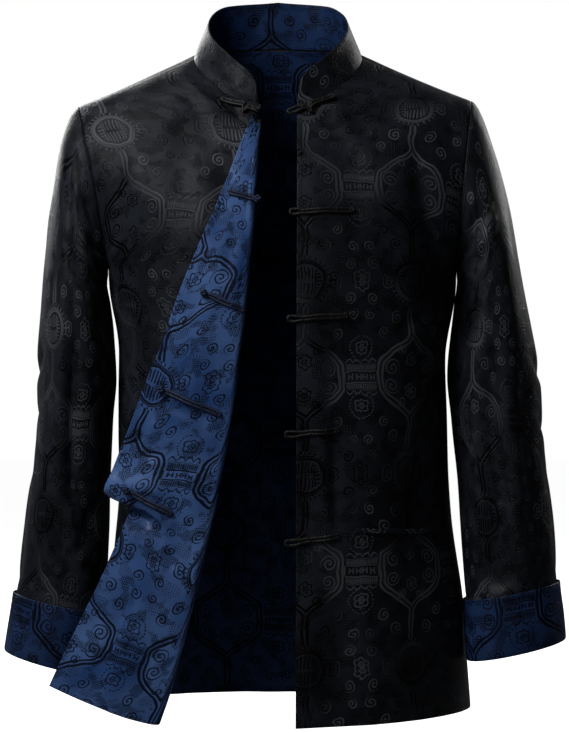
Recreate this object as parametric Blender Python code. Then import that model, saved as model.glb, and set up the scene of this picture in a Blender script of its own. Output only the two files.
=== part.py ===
"""Worn tang jacket with its right front turned back, built as its cut pieces.

Metres, +Z up. The origin is the centre of the neck base. The wearer faces -Y, so the
wearer's left is +X. Each cloth piece is a surface worked out from its named sizes and
then given its wall; each frog is a cord bar swept along the panel that it is sewn to.
"""

from typing import NamedTuple

import bmesh
import bpy
import numpy as np

LEFT, RIGHT = 1, -1
DEGREE = np.pi / 180

# Cloth
WALL = 0.0020
SEAM_GAP = 0.0003
JOIN_DISTANCE = 0.00001
SIDE_SEAM_GAP = 0.0007
SHOULDER_GAP = 0.0009

# Neck and collar
NECK_HALF_WIDTH = 0.0920
NECK_FRONT = 0.0700
NECK_BACK = 0.0580
COLLAR_TOP_HALF_WIDTH = 0.0765
COLLAR_TOP_FRONT = 0.0690
COLLAR_TOP_BACK = 0.0470
COLLAR_FOOT_LIFT = 0.0019
COLLAR_CORNER = 0.0260
COLLAR_SPREAD = 7 * DEGREE

# Fronts
LEFT_HEM = -0.7200
RIGHT_HEM = -0.7265
SIDE_HEM = -0.7140
BACK_HEM = -0.7160
EDGE_AT_HEM = 0.0185
EDGE_AT_NECK = 0.0205
CHEST_SWING = 90 * DEGREE
SHOULDER_SWING = 50 * DEGREE
FRONT_NECK_SHARE, BACK_NECK_SHARE = 0.60, 0.68
FRONT_FULLNESS, BACK_FULLNESS = 0.0050, 0.0060

# Turned-back right front
BEND_RADIUS = 0.0042
FLAP_TOP = -0.0780
FLAP_LIFT = 0.0030
HEM_LIFT_POWER = 1.3
FLAP_ROW_SPACING = 0.034

# Sleeves and cuffs
ARMHOLE_BOW = 0.0040
ARMHOLE_STEP = 0.0026
CUFF_STEP = WALL + SEAM_GAP + 0.0003
CUFF_FLARE = 0.0012

# Frogs
BAR_HALF_WIDTH = 0.0036
BAR_HALF_HEIGHT = 0.0017
BALL_RADIUS = 0.0043
LOOP_REACH = 0.0085
NECK_BAR_LIFT = 0.0015

# Pocket welt
WELT_HALF_WIDTH = 0.0030
WELT_HALF_HEIGHT = 0.0009


class SideSeam(NamedTuple):
    """Half-widths of the body at one height, down both side seams."""
    height: float
    right: float
    left: float


class Centre(NamedTuple):
    """How far the centre front and the centre back stand from the neck's axis."""
    height: float
    front: float
    back: float


class Neck(NamedTuple):
    """Heights of the neck seam and of the collar's top edge, round from centre front."""
    turn: float
    seam: float
    top: float


class Turnback(NamedTuple):
    """One row of the turned-back front: its fold, and its free edge."""
    fold_height: float
    fold_out: float
    edge_height: float
    edge_out: float
    edge_forward: float


class SleeveRing(NamedTuple):
    """One ring of a sleeve: its outer and inner ends, and its middle and half-depth."""
    outer_out: float
    outer_height: float
    inner_out: float
    inner_height: float
    forward: float
    depth: float


class Crease(NamedTuple):
    """A soft ridge (height > 0) or trough between two places seen from the front."""
    piece: str
    x0: float
    z0: float
    x1: float
    z1: float
    width: float
    height: float


class Frog(NamedTuple):
    """A frog's two ends seen from the front: the one at the edge, and the sewn one."""
    name: str
    panel: str
    edge_x: float
    edge_z: float
    sewn_x: float
    sewn_z: float


SIDE_SEAMS = (
    SideSeam(-0.730, 0.1960, 0.2110),
    SideSeam(-0.660, 0.1900, 0.2065),
    SideSeam(-0.594, 0.1835, 0.2020),
    SideSeam(-0.500, 0.1765, 0.1900),
    SideSeam(-0.440, 0.1745, 0.1858),
    SideSeam(-0.360, 0.1742, 0.1825),
    SideSeam(-0.300, 0.1752, 0.1850),
    SideSeam(-0.220, 0.1850, 0.1945),
)

CENTRES = (
    Centre(-0.730, 0.1280, 0.1250),
    Centre(-0.640, 0.1250, 0.1230),
    Centre(-0.540, 0.1220, 0.1180),
    Centre(-0.440, 0.1205, 0.1120),
    Centre(-0.360, 0.1215, 0.1105),
    Centre(-0.280, 0.1225, 0.1135),
    Centre(-0.200, 0.1160, 0.1130),
    Centre(-0.150, 0.1060, 0.1060),
    Centre(-0.100, 0.0890, 0.0940),
    Centre(-0.060, 0.0688, 0.0820),
    Centre(-0.020, 0.0560, 0.0690),
    Centre(0.016, 0.0500, 0.0580),
)

NECKS = (
    Neck(0, -0.0605, -0.0240),
    Neck(27, -0.0540, -0.0180),
    Neck(50, -0.0350, 0.0015),
    Neck(75, -0.0130, 0.0220),
    Neck(90, -0.0025, 0.0340),
    Neck(110, 0.0060, 0.0490),
    Neck(135, 0.0120, 0.0600),
    Neck(180, 0.0160, 0.0665),
)

TURNBACKS = (
    Turnback(RIGHT_HEM, 0.1223, -0.6800, 0.2425, 0.0900),
    Turnback(-0.6900, 0.1103, -0.6450, 0.2270, 0.0925),
    Turnback(-0.6500, 0.0998, -0.6060, 0.2080, 0.0960),
    Turnback(-0.6135, 0.0910, -0.5700, 0.1896, 0.0990),
    Turnback(-0.5780, 0.0822, -0.5340, 0.1735, 0.1010),
    Turnback(-0.5480, 0.0755, -0.5050, 0.1620, 0.1030),
    Turnback(-0.5320, 0.0720, -0.4895, 0.1580, 0.1020),
    Turnback(-0.5160, 0.0688, -0.4735, 0.1835, 0.1040),
    Turnback(-0.4950, 0.0642, -0.4520, 0.1755, 0.1050),
    Turnback(-0.4500, 0.0562, -0.4090, 0.1585, 0.1080),
    Turnback(-0.4000, 0.0475, -0.3640, 0.1415, 0.1130),
    Turnback(-0.3494, 0.0407, -0.3220, 0.1245, 0.1190),
    Turnback(-0.2780, 0.0326, -0.2590, 0.1023, 0.1235),
    Turnback(-0.2000, 0.0251, -0.1840, 0.0705, 0.1215),
    Turnback(-0.1453, 0.0221, -0.1336, 0.0507, 0.1080),
    Turnback(FLAP_TOP, 0.0172, -0.0715, 0.0262, 0.0890),
)

SLEEVES = {
    LEFT: (
        SleeveRing(0.2115, -0.0500, 0.1950, -0.2350, 0.000, 0.0570),
        SleeveRing(0.2225, -0.0645, 0.1985, -0.2370, 0.000, 0.0590),
        SleeveRing(0.2355, -0.1010, 0.1990, -0.2385, 0.000, 0.0615),
        SleeveRing(0.2470, -0.1420, 0.1990, -0.2405, 0.000, 0.0635),
        SleeveRing(0.2562, -0.1870, 0.1992, -0.2450, 0.000, 0.0650),
        SleeveRing(0.2625, -0.2260, 0.1980, -0.2560, 0.001, 0.0655),
        SleeveRing(0.2695, -0.2700, 0.1940, -0.2780, 0.003, 0.0650),
        SleeveRing(0.2750, -0.3050, 0.1898, -0.3070, 0.005, 0.0640),
        SleeveRing(0.2820, -0.3480, 0.1866, -0.3500, 0.006, 0.0625),
        SleeveRing(0.2887, -0.3970, 0.1920, -0.4010, 0.006, 0.0605),
        SleeveRing(0.2958, -0.4600, 0.1972, -0.4700, 0.014, 0.0575),
        SleeveRing(0.3005, -0.5180, 0.2000, -0.5330, 0.022, 0.0540),
        SleeveRing(0.3015, -0.5735, 0.2050, -0.5930, 0.032, 0.0490),
        SleeveRing(0.3055, -0.6065, 0.2060, -0.6260, 0.037, 0.0475),
        SleeveRing(0.3085, -0.6350, 0.2070, -0.6580, 0.041, 0.0460),
    ),
    RIGHT: (
        SleeveRing(0.2180, -0.0560, 0.1855, -0.2300, 0.000, 0.0570),
        SleeveRing(0.2280, -0.0700, 0.1885, -0.2325, 0.000, 0.0590),
        SleeveRing(0.2380, -0.1040, 0.1890, -0.2340, 0.000, 0.0615),
        SleeveRing(0.2453, -0.1460, 0.1890, -0.2365, 0.000, 0.0635),
        SleeveRing(0.2497, -0.1860, 0.1885, -0.2410, 0.000, 0.0650),
        SleeveRing(0.2530, -0.2250, 0.1883, -0.2510, 0.001, 0.0655),
        SleeveRing(0.2563, -0.2690, 0.1842, -0.2740, 0.003, 0.0650),
        SleeveRing(0.2587, -0.3050, 0.1805, -0.3060, 0.004, 0.0640),
        SleeveRing(0.2615, -0.3500, 0.1790, -0.3520, 0.005, 0.0625),
        SleeveRing(0.2643, -0.3970, 0.1822, -0.4000, 0.006, 0.0600),
        SleeveRing(0.2705, -0.4600, 0.1835, -0.4680, 0.008, 0.0570),
        SleeveRing(0.2775, -0.5200, 0.1860, -0.5340, 0.010, 0.0535),
        SleeveRing(0.2850, -0.5870, 0.1920, -0.6080, 0.014, 0.0490),
        SleeveRing(0.2905, -0.6200, 0.1950, -0.6430, 0.016, 0.0475),
        SleeveRing(0.2960, -0.6500, 0.1985, -0.6760, 0.018, 0.0460),
    ),
}
CUFF_RING = 12

CREASES = (
    Crease("sleeve_right", -0.212, -0.300, -0.216, -0.540, 0.012, -0.0045),
    Crease("sleeve_right", -0.232, -0.270, -0.236, -0.560, 0.014, 0.0030),
    Crease("sleeve_right", -0.190, -0.120, -0.200, -0.290, 0.014, -0.0040),
    Crease("sleeve_left", 0.215, -0.150, 0.232, -0.260, 0.012, 0.0035),
    Crease("sleeve_left", 0.224, -0.330, 0.240, -0.560, 0.013, 0.0030),
    Crease("sleeve_left", 0.250, -0.330, 0.262, -0.540, 0.014, -0.0035),
    Crease("front_left", 0.057, -0.400, 0.058, -0.500, 0.010, -0.0030),
    Crease("front_left", 0.150, -0.090, 0.182, -0.230, 0.016, -0.0030),
    Crease("front_right", -0.150, -0.100, -0.168, -0.250, 0.014, -0.0035),
    Crease("front_right", -0.060, -0.070, -0.085, -0.160, 0.014, 0.0030),
)

POCKET_INNER_X, POCKET_INNER_Z = 0.081, -0.5145
POCKET_OUTER_X, POCKET_OUTER_Z = 0.176, -0.5180

LOOPS = (
    Frog("frog_loop_1", "left", 0.0220, -0.0665, 0.0580, -0.0530),
    Frog("frog_loop_2", "left", 0.0216, -0.1783, 0.0779, -0.1762),
    Frog("frog_loop_3", "left", 0.0212, -0.2906, 0.0705, -0.2875),
    Frog("frog_loop_4", "left", 0.0207, -0.4114, 0.0621, -0.4082),
    Frog("frog_loop_5", "left", 0.0203, -0.5248, 0.0621, -0.5195),
)
BUTTONS = (
    Frog("frog_button_1", "right", -0.0225, -0.0672, -0.0590, -0.0555),
    Frog("frog_button_2", "flap", -0.0240, -0.1650, -0.0500, -0.1575),
    Frog("frog_button_3", "flap", -0.0744, -0.2655, -0.0375, -0.2815),
    Frog("frog_button_4", "flap", -0.1190, -0.3665, -0.0618, -0.3904),
    Frog("frog_button_5", "flap", -0.1560, -0.4735, -0.1132, -0.4948),
)


# ---------------------------------------------------------------- reading the tables
def column(table, name):
    """One named column of a table."""
    return np.array([getattr(row, name) for row in table], float)


def smooth(knots, values, at):
    """Values read from a smooth curve that keeps between neighbouring rows."""
    order = np.argsort(knots)
    knots, values = np.asarray(knots)[order], np.asarray(values)[order]
    at = np.clip(np.asarray(at, float), knots[0], knots[-1])
    steps = np.diff(values) / np.diff(knots)
    both = steps[:-1] * steps[1:]
    total = steps[:-1] + steps[1:]
    inner = np.where(both > 0, 2 * both / np.where(both > 0, total, 1), 0)
    slopes = np.concatenate([steps[:1], inner, steps[-1:]])
    i = np.clip(np.searchsorted(knots, at) - 1, 0, len(knots) - 2)
    span = knots[i + 1] - knots[i]
    t = (at - knots[i]) / span
    rise = values[i + 1] - values[i]
    curve = t * t * (3 - 2 * t)
    return (values[i] + rise * curve + span * t * (1 - t) ** 2 * slopes[i]
            - span * t * t * (1 - t) * slopes[i + 1])


def read(table, key, name, at):
    """The named column of a table, read at a value of its key column."""
    return smooth(column(table, key), column(table, name), at)


def lerp(low, high, share):
    """The value a given share of the way from low to high."""
    return low + (high - low) * share


def ease(share):
    """0 to 1 with level ends."""
    share = np.clip(share, 0, 1)
    return share * share * (3 - 2 * share)


def stack(x, y, z):
    """Coordinates as an array of points."""
    return np.stack(np.broadcast_arrays(x, y, z), axis=-1).astype(float)


# ---------------------------------------------------------------- body form
def neck_turn(turn):
    """Degrees from centre front, the same on both sides."""
    return 180 - np.abs(180 - np.asarray(turn) / DEGREE % 360)


def neckline(turn):
    """Neck seam: an oval, deeper in front, that falls from the back to the front."""
    depth = np.where(np.cos(turn) > 0, NECK_FRONT, NECK_BACK)
    seam = read(NECKS, "turn", "seam", neck_turn(turn))
    return stack(NECK_HALF_WIDTH * np.sin(turn), -depth * np.cos(turn), seam)


def sleeve_ring(side, station, turn):
    """Sleeve section: an ellipse between its outer end (turn 0) and inner end."""
    table = SLEEVES[side]
    index = np.arange(len(table), dtype=float)
    part = {name: smooth(index, column(table, name), station) for name in SleeveRing._fields}
    cosine, sine = np.cos(turn), np.sin(turn)
    near_armhole = np.clip(1 - np.asarray(station) / 2, 0, 1)
    out = (part["outer_out"] + part["inner_out"]) / 2
    out = out + (part["outer_out"] - part["inner_out"]) / 2 * cosine
    out = out - ARMHOLE_BOW * near_armhole * sine ** 2
    height = (part["outer_height"] + part["inner_height"]) / 2
    height = height + (part["outer_height"] - part["inner_height"]) / 2 * cosine
    return stack(side * out, -part["forward"] - part["depth"] * sine, height)


def armhole(side, turn):
    """Armhole seam: shoulder tip at turn 0, chest at 90 degrees, under the arm at 180."""
    return sleeve_ring(side, 0.0, turn)


def chest_height(side):
    """Height of the lowest point of the armhole."""
    return SLEEVES[side][0].inner_height


def side_seam(side, row):
    """Side seam from the hem (row 0) to the armhole (row 1)."""
    height = lerp(SIDE_HEM, chest_height(side), row)
    name = "left" if side == LEFT else "right"
    out = read(SIDE_SEAMS, "height", name, height)
    join = lerp(out, SLEEVES[side][0].inner_out, ease((np.asarray(row) - 0.8) / 0.2))
    return stack(side * join, 0, height)


def swing_at(row):
    """How far round its oval a row of the body goes: a quarter below the armholes."""
    return lerp(CHEST_SWING, SHOULDER_SWING, ease((row - 1) / 0.6))


class Side(NamedTuple):
    """What tells a front from a half of the back."""
    hems: dict
    depth: str
    neck_share: float
    neck_start: float
    neck_seam: float
    fullness: float
    facing: int


NECK_START = np.arcsin(EDGE_AT_NECK / NECK_HALF_WIDTH)
FRONT = Side({LEFT: LEFT_HEM, RIGHT: RIGHT_HEM}, "front", FRONT_NECK_SHARE, NECK_START,
             NECKS[0].seam, FRONT_FULLNESS, -1)
BACK = Side({LEFT: BACK_HEM, RIGHT: BACK_HEM}, "back", BACK_NECK_SHARE, np.pi,
            NECKS[-1].seam, BACK_FULLNESS, 1)


def chest_of(side, form):
    """Height of the row that meets the underarm, at the panel's inner edge."""
    if form is BACK:
        return (chest_height(LEFT) + chest_height(RIGHT)) / 2
    return chest_height(side)


def inner_height(side, form, row):
    """Height of a row at the panel's inner edge, up to the neck."""
    chest = chest_of(side, form)
    low = lerp(form.hems[side], chest, np.clip(row, 0, 1))
    return low + (form.neck_seam - chest) * np.clip((row - 1) / form.neck_share, 0, 1)


def row_at(side, form, height):
    """The row of a panel whose inner edge is at this height."""
    chest = chest_of(side, form)
    below = (height - form.hems[side]) / (chest - form.hems[side])
    above = 1 + form.neck_share * (height - chest) / (form.neck_seam - chest)
    return np.where(height < chest, below, above)


def inner_end(side, form, row):
    """Centre-front edge or centre back, and above it the neck seam to the shoulder."""
    height = inner_height(side, form, row)
    share = np.clip((row - 1 - form.neck_share) / (1 - form.neck_share), 0, 1)
    if form is FRONT:
        out = lerp(EDGE_AT_HEM, EDGE_AT_NECK, np.clip(row / (1 + form.neck_share), 0, 1))
    else:
        out = 0 * height
    edge = stack(side * out, form.facing * read(CENTRES, "height", form.depth, height), height)
    neck = neckline(lerp(form.neck_start, np.pi / 2, share))
    neck[..., 0] *= side
    return np.where((share > 0)[..., None], neck, edge)


def outer_end(side, form, row):
    """Side seam, and above it one half of the armhole, for a front or for the back."""
    hole = armhole(side, np.pi * (1 + form.facing * np.clip(row - 1, 0, 1)))
    seam = side_seam(side, np.clip(row, 0, 1))
    return np.where((np.asarray(row) > 1)[..., None], hole, seam)


def half_gap(row, at_side):
    """Half of the seam's gap: all along the side seam, and up to the shoulder seam."""
    near_top = ease((row - 1.7) / 0.3)
    return SHOULDER_GAP / 2 * near_top + SIDE_SEAM_GAP / 2 * (1 - near_top) * at_side


def panel_surface(side, form, row, across):
    """Half of the body, front or back, round a quarter oval at each row.

    across is 0 at the edge, centre back or neck seam, and 1 at the side or armhole.
    """
    row, across = np.broadcast_arrays(np.asarray(row, float), np.asarray(across, float))
    inner, outer = inner_end(side, form, row), outer_end(side, form, row)
    swing = swing_at(row)
    turn = across * swing
    along = np.sin(turn) / np.sin(swing)
    bend = (1 - np.cos(turn)) / (1 - np.cos(swing))
    point = lerp(inner, outer, along[..., None])
    point[..., 1] = lerp(inner[..., 1], outer[..., 1], bend)
    full = np.sin(np.pi * np.clip(row - 1, 0, 1)) * np.sin(np.pi * across)
    point[..., 1] += form.facing * (form.fullness * full + half_gap(row, across > 0.999))
    return point


# ---------------------------------------------------------------- turned-back front
def fold_across(row):
    """Where across the right front its main part ends and the bend begins."""
    inner, outer = inner_end(RIGHT, FRONT, row), outer_end(RIGHT, FRONT, row)
    height = inner_height(RIGHT, FRONT, row)
    out = read(TURNBACKS, "fold_height", "fold_out", height) + BEND_RADIUS + WALL / 2
    along = (out - np.abs(inner[..., 0])) / (np.abs(outer[..., 0]) - np.abs(inner[..., 0]))
    swing = swing_at(row)
    share = np.arcsin(np.clip(along, 0, 1) * np.sin(swing)) / swing
    fade = ease((height - FLAP_TOP) / (NECKS[0].seam - FLAP_TOP))
    return share * (1 - fade)


def right_main(row, share):
    """Right front from its fold (share 0) to the side (share 1)."""
    start = fold_across(row)
    return panel_surface(RIGHT, FRONT, row, lerp(start, 1, share))


def fold_frame(row):
    """Start of the bend with the direction across the panel and the one out of it."""
    start = right_main(row, np.zeros_like(row))
    tangent = start - right_main(row, np.full_like(row, 0.02))
    tangent[..., 2] *= 0.3
    tangent /= np.linalg.norm(tangent, axis=-1, keepdims=True)
    out = np.cross(tangent, np.array([0.0, 0.0, 1.0]))
    out /= np.linalg.norm(out, axis=-1, keepdims=True)
    return start, tangent, out


def right_bend(row, turn):
    """The fold itself, a half round of cloth between panel and turnback."""
    start, tangent, out = fold_frame(row)
    return (start + BEND_RADIUS * np.sin(turn)[..., None] * tangent
            + BEND_RADIUS * (1 - np.cos(turn))[..., None] * out)


def turnback_surface(row, share):
    """The turned-back part: share 0 at the fold, 1 at the free edge."""
    row, share = np.broadcast_arrays(np.asarray(row, float), np.asarray(share, float))
    start, _, out = fold_frame(row)
    start = start + 2 * BEND_RADIUS * out
    height = inner_height(RIGHT, FRONT, row)
    edge = {name: read(TURNBACKS, "fold_height", name, height)
            for name in ("edge_out", "edge_height", "edge_forward")}
    x = lerp(start[..., 0], -edge["edge_out"], share)
    lift = np.minimum(1.0, edge["edge_out"] / 0.1) * FLAP_LIFT * np.sin(np.pi * share)
    y = lerp(start[..., 1], -edge["edge_forward"], share) - lift
    z = lerp(start[..., 2], edge["edge_height"], np.maximum(share, 0) ** HEM_LIFT_POWER)
    return stack(x, y, z)


# ---------------------------------------------------------------- collar, cuffs
def collar_surface(turn, share):
    """Stand collar: share 0 at the neck seam, 1 at the top edge, with round front corners."""
    foot = neckline(turn)
    foot[..., 2] += COLLAR_FOOT_LIFT
    depth = np.where(np.cos(turn) > 0, COLLAR_TOP_FRONT, COLLAR_TOP_BACK)
    spread = np.sign(np.sin(turn)) * np.maximum(np.cos(turn), 0) ** 2
    wide = turn + COLLAR_SPREAD * spread
    top = stack(COLLAR_TOP_HALF_WIDTH * np.sin(wide), -depth * np.cos(wide),
                read(NECKS, "turn", "top", neck_turn(wide)))
    reach = NECK_HALF_WIDTH * np.minimum(turn - NECK_START, 2 * np.pi - NECK_START - turn)
    near = np.clip(1 - reach / COLLAR_CORNER, 0, 1)
    corner = 1 - 0.5 * (1 - np.sqrt(1 - near ** 2))
    return lerp(foot, top, (share * corner)[..., None])


def cuff_surface(side, station, turn):
    """Turned-up cuff: the sleeve's end moved out, a little wider at its top."""
    inner = sleeve_ring(side, station, turn)
    last = len(SLEEVES[side]) - 1
    wider = CUFF_STEP + CUFF_FLARE * (last - station) / (last - CUFF_RING)
    middle = (sleeve_ring(side, station, 0 * turn) + sleeve_ring(side, station, 0 * turn + np.pi)) / 2
    away = inner - middle
    return inner + wider[..., None] * away / np.linalg.norm(away, axis=-1, keepdims=True)


# ---------------------------------------------------------------- creases and walls
def grid_normals(grid, closed):
    """Unit normals of a grid of points; closed grids join their last column to the first."""
    if closed:
        ring = np.concatenate([grid[:, -1:], grid, grid[:, :1]], axis=1)
        across = (ring[:, 2:] - ring[:, :-2])
    else:
        across = np.gradient(grid, axis=1)
    normals = np.cross(across, np.gradient(grid, axis=0))
    length = np.linalg.norm(normals, axis=-1, keepdims=True)
    return normals / np.maximum(length, 1e-12)


def creased(piece, grid, closed=False):
    """The grid with this piece's creases pressed into the cloth that faces forward."""
    normals = grid_normals(grid, closed)
    if closed:
        middle = grid.mean(axis=1, keepdims=True)
        inward = (normals * (grid - middle)).sum(-1, keepdims=True) < 0
        normals = np.where(inward, -normals, normals)
    else:
        normals = np.where(normals[..., 1:2] > 0, -normals, normals)
    for crease in (row for row in CREASES if row.piece == piece):
        start = np.array([crease.x0, crease.z0])
        line = np.array([crease.x1, crease.z1]) - start
        from_start = grid[..., [0, 2]] - start
        along = np.clip((from_start @ line) / (line @ line), 0, 1)
        away = np.linalg.norm(from_start - along[..., None] * line, axis=-1)
        press = crease.height * np.exp(-(away / crease.width) ** 2) * np.clip(-2 * normals[..., 1], 0, 1)
        grid = grid + press[..., None] * normals
    return grid


def material(name, color, roughness):
    """Plain Principled material of one colour."""
    made = bpy.data.materials.new(name)
    made.use_nodes = True
    shader = made.node_tree.nodes["Principled BSDF"]
    shader.inputs["Base Color"].default_value = (*color, 1.0)
    shader.inputs["Roughness"].default_value = roughness
    shader.inputs["Metallic"].default_value = 0.0
    return made


def add_mesh(name, points, faces, finish):
    """New object from points and faces, shaded smooth."""
    mesh = bpy.data.meshes.new(name)
    mesh.from_pydata([tuple(point) for point in points], [], faces)
    mesh.shade_smooth()
    mesh.materials.append(finish)
    made = bpy.data.objects.new(name, mesh)
    bpy.context.scene.collection.objects.link(made)
    return made


def cloth(name, grid, finish, closed=False, keep=None):
    """Cloth piece: a grid of points joined by quads, then given its wall.

    keep says which quads exist, by row and column; the rest are cut away.
    """
    rows, columns = grid.shape[:2]
    faces = []
    for i in range(rows - 1):
        for j in range(columns if closed else columns - 1):
            if keep is None or keep(i, j):
                after = (j + 1) % columns
                faces.append((i * columns + j, i * columns + after,
                              (i + 1) * columns + after, (i + 1) * columns + j))
    used = sorted({corner for face in faces for corner in face})
    place = {old: new for new, old in enumerate(used)}
    faces = [tuple(place[corner] for corner in face) for face in faces]
    made = add_mesh(name, grid.reshape(-1, 3)[used], faces, finish)
    joined = bmesh.new()
    joined.from_mesh(made.data)
    bmesh.ops.remove_doubles(joined, verts=joined.verts, dist=JOIN_DISTANCE)
    joined.to_mesh(made.data)
    joined.free()
    wall = made.modifiers.new("wall", "SOLIDIFY")
    wall.thickness = WALL
    wall.offset = 0
    wall.use_even_offset = True
    return made


# ---------------------------------------------------------------- what lies on a panel
def locate(surface, x, z, row, across):
    """Row and across of the surface's points that are seen at x and z from the front."""
    step = 1e-4
    for _ in range(24):
        here = surface(row, across)
        by_row = (surface(row + step, across) - here) / step
        by_across = (surface(row, across + step) - here) / step
        off_x, off_z = x - here[..., 0], z - here[..., 2]
        det = by_row[..., 0] * by_across[..., 2] - by_row[..., 2] * by_across[..., 0]
        det = np.where(np.abs(det) < 1e-9, 1e-9, det)
        row = np.clip(row + np.clip((off_x * by_across[..., 2] - off_z * by_across[..., 0]) / det,
                                    -0.1, 0.1), 0.0, 1.98)
        across = np.clip(across + np.clip((off_z * by_row[..., 0] - off_x * by_row[..., 2]) / det,
                                          -0.1, 0.1), -0.2, 1.0)
    return row, across


PANELS = {
    "left": lambda row, across: panel_surface(LEFT, FRONT, row, across),
    "right": lambda row, across: panel_surface(RIGHT, FRONT, row, across),
    "flap": turnback_surface,
}


def path_on(panel, x0, z0, x1, z1, count):
    """Points and outward normals of a panel along a line seen from the front."""
    share = np.linspace(0, 1, count)
    surface = PANELS[panel]
    x, z = lerp(x0, x1, share), lerp(z0, z1, share)
    side = LEFT if panel == "left" else RIGHT
    guess = np.full(count, float(row_at(side, FRONT, (z0 + z1) / 2)))
    row, across = locate(surface, x, z, guess, np.full(count, 0.3))
    points = surface(row, across)
    step = 1e-3
    normals = np.cross(surface(row, across + step) - points, surface(row + step, across) - points)
    normals /= np.linalg.norm(normals, axis=-1, keepdims=True)
    return points, np.where(normals[..., 1:2] > 0, -normals, normals)


def bar(name, middles, normals, half_widths, half_heights, finish, sides=8):
    """Closed bar swept along middles, its section an ellipse flat to the panel."""
    along = np.gradient(middles, axis=0)
    along /= np.linalg.norm(along, axis=-1, keepdims=True)
    wide = np.cross(normals, along)
    wide /= np.linalg.norm(wide, axis=-1, keepdims=True)
    up = np.cross(along, wide)
    turn = np.arange(sides) * 2 * np.pi / sides + np.pi / sides
    rings = (middles[:, None] + half_widths[:, None, None] * np.cos(turn)[None, :, None] * wide[:, None]
             + half_heights[:, None, None] * np.sin(turn)[None, :, None] * up[:, None])
    faces = [tuple(range(sides))[::-1]]
    for i in range(len(middles) - 1):
        for j in range(sides):
            after = (j + 1) % sides
            faces.append((i * sides + j, i * sides + after,
                          (i + 1) * sides + after, (i + 1) * sides + j))
    faces.append(tuple((len(middles) - 1) * sides + j for j in range(sides)))
    return add_mesh(name, rings.reshape(-1, 3), faces, finish)


def frog_bar(frog, finish, ball):
    """A frog's cord bar, with a knotted ball or a loop that reaches past the edge."""
    points, normals = path_on(frog.panel, frog.sewn_x, frog.sewn_z, frog.edge_x, frog.edge_z, 7)
    clear = WALL / 2 + SEAM_GAP + (NECK_BAR_LIFT if frog.name.endswith("_1") else 0)
    middles = points + (clear + BAR_HALF_HEIGHT) * normals
    onward = middles[-1] - middles[-2]
    onward /= np.linalg.norm(onward)
    outward = normals[-1]
    widths = np.full(7, BAR_HALF_WIDTH)
    heights = np.full(7, BAR_HALF_HEIGHT)
    widths[0], heights[0] = 0.6 * BAR_HALF_WIDTH, 0.7 * BAR_HALF_HEIGHT
    if ball:
        turns = np.array([-50, -25, 0, 30, 60]) * DEGREE
        reach = BALL_RADIUS * (1 + np.sin(turns))
        rise = clear + BALL_RADIUS
        tail = points[-1] + reach[:, None] * onward + rise * outward
        sizes = BALL_RADIUS * np.cos(turns)
        widths[-1] = 0.7 * BAR_HALF_WIDTH
        tail_widths, tail_heights = sizes, sizes
    else:
        reach = np.array([0.45, 0.85, 1.0]) * LOOP_REACH
        tail = middles[-1] + reach[:, None] * onward
        tail_widths = np.array([0.95, 0.70, 0.35]) * BAR_HALF_WIDTH
        tail_heights = np.array([1.0, 0.9, 0.6]) * BAR_HALF_HEIGHT
    return bar(frog.name, np.concatenate([middles, tail]),
               np.concatenate([normals, np.repeat(outward[None], len(tail), 0)]),
               np.concatenate([widths, tail_widths]), np.concatenate([heights, tail_heights]), finish)


# ---------------------------------------------------------------- the pieces
def panel_rows(side, form, low_count, high_count, neck_count):
    """Rows of a panel: even steps up to the armhole, to the neck, and round the neck."""
    chest = chest_of(side, form)
    low = np.linspace(form.hems[side], chest, low_count)
    high = np.linspace(chest, form.neck_seam, high_count)[1:]
    neck = np.linspace(1 + form.neck_share, 2, neck_count)[1:]
    return np.concatenate([row_at(side, form, low), row_at(side, form, high), neck])


def build_fronts(finish):
    """The two fronts; the right one runs on through its fold into the turnback."""
    row = panel_rows(LEFT, FRONT, 17, 7, 7)[:, None]
    left = panel_surface(LEFT, FRONT, row, np.linspace(0, 1, 12)[None])
    cloth("front_left", creased("front_left", left), finish)

    folds = column(TURNBACKS, "fold_height")
    spans = [np.linspace(low, high, 1 + int(np.ceil((high - low) / FLAP_ROW_SPACING)))[:-1]
             for low, high in zip(folds[:-1], folds[1:])]
    heights = np.concatenate([*spans, folds[-1:], [FRONT.neck_seam]])
    neck = np.linspace(1 + FRONT.neck_share, 2, 7)[1:]
    rows = np.concatenate([row_at(RIGHT, FRONT, heights), neck])[:, None]
    main = right_main(rows, np.linspace(1, 0, 10)[None])
    main = creased("front_right", main)
    bend = right_bend(rows, np.linspace(0, np.pi, 5)[None, 1:])
    flap = turnback_surface(rows, np.linspace(0, 1, 8)[None, 1:])
    grid = np.concatenate([main, bend, flap], axis=1)
    last_flap_row = len(heights) - 2
    cloth("front_right", grid, finish,
          keep=lambda i, j: j < main.shape[1] - 1 or i < last_flap_row)


def build_back(finish):
    """The back, cut in one: two halves that share the centre back below the neck."""
    row = panel_rows(LEFT, BACK, 15, 8, 7)[:, None]
    half = np.linspace(0, 1, 10)
    left = panel_surface(LEFT, BACK, row, half[None, ::-1])
    right = panel_surface(RIGHT, BACK, row, half[None])
    cloth("back", np.concatenate([left, right], axis=1), finish,
          keep=lambda i, j: j != len(half) - 1)


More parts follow.
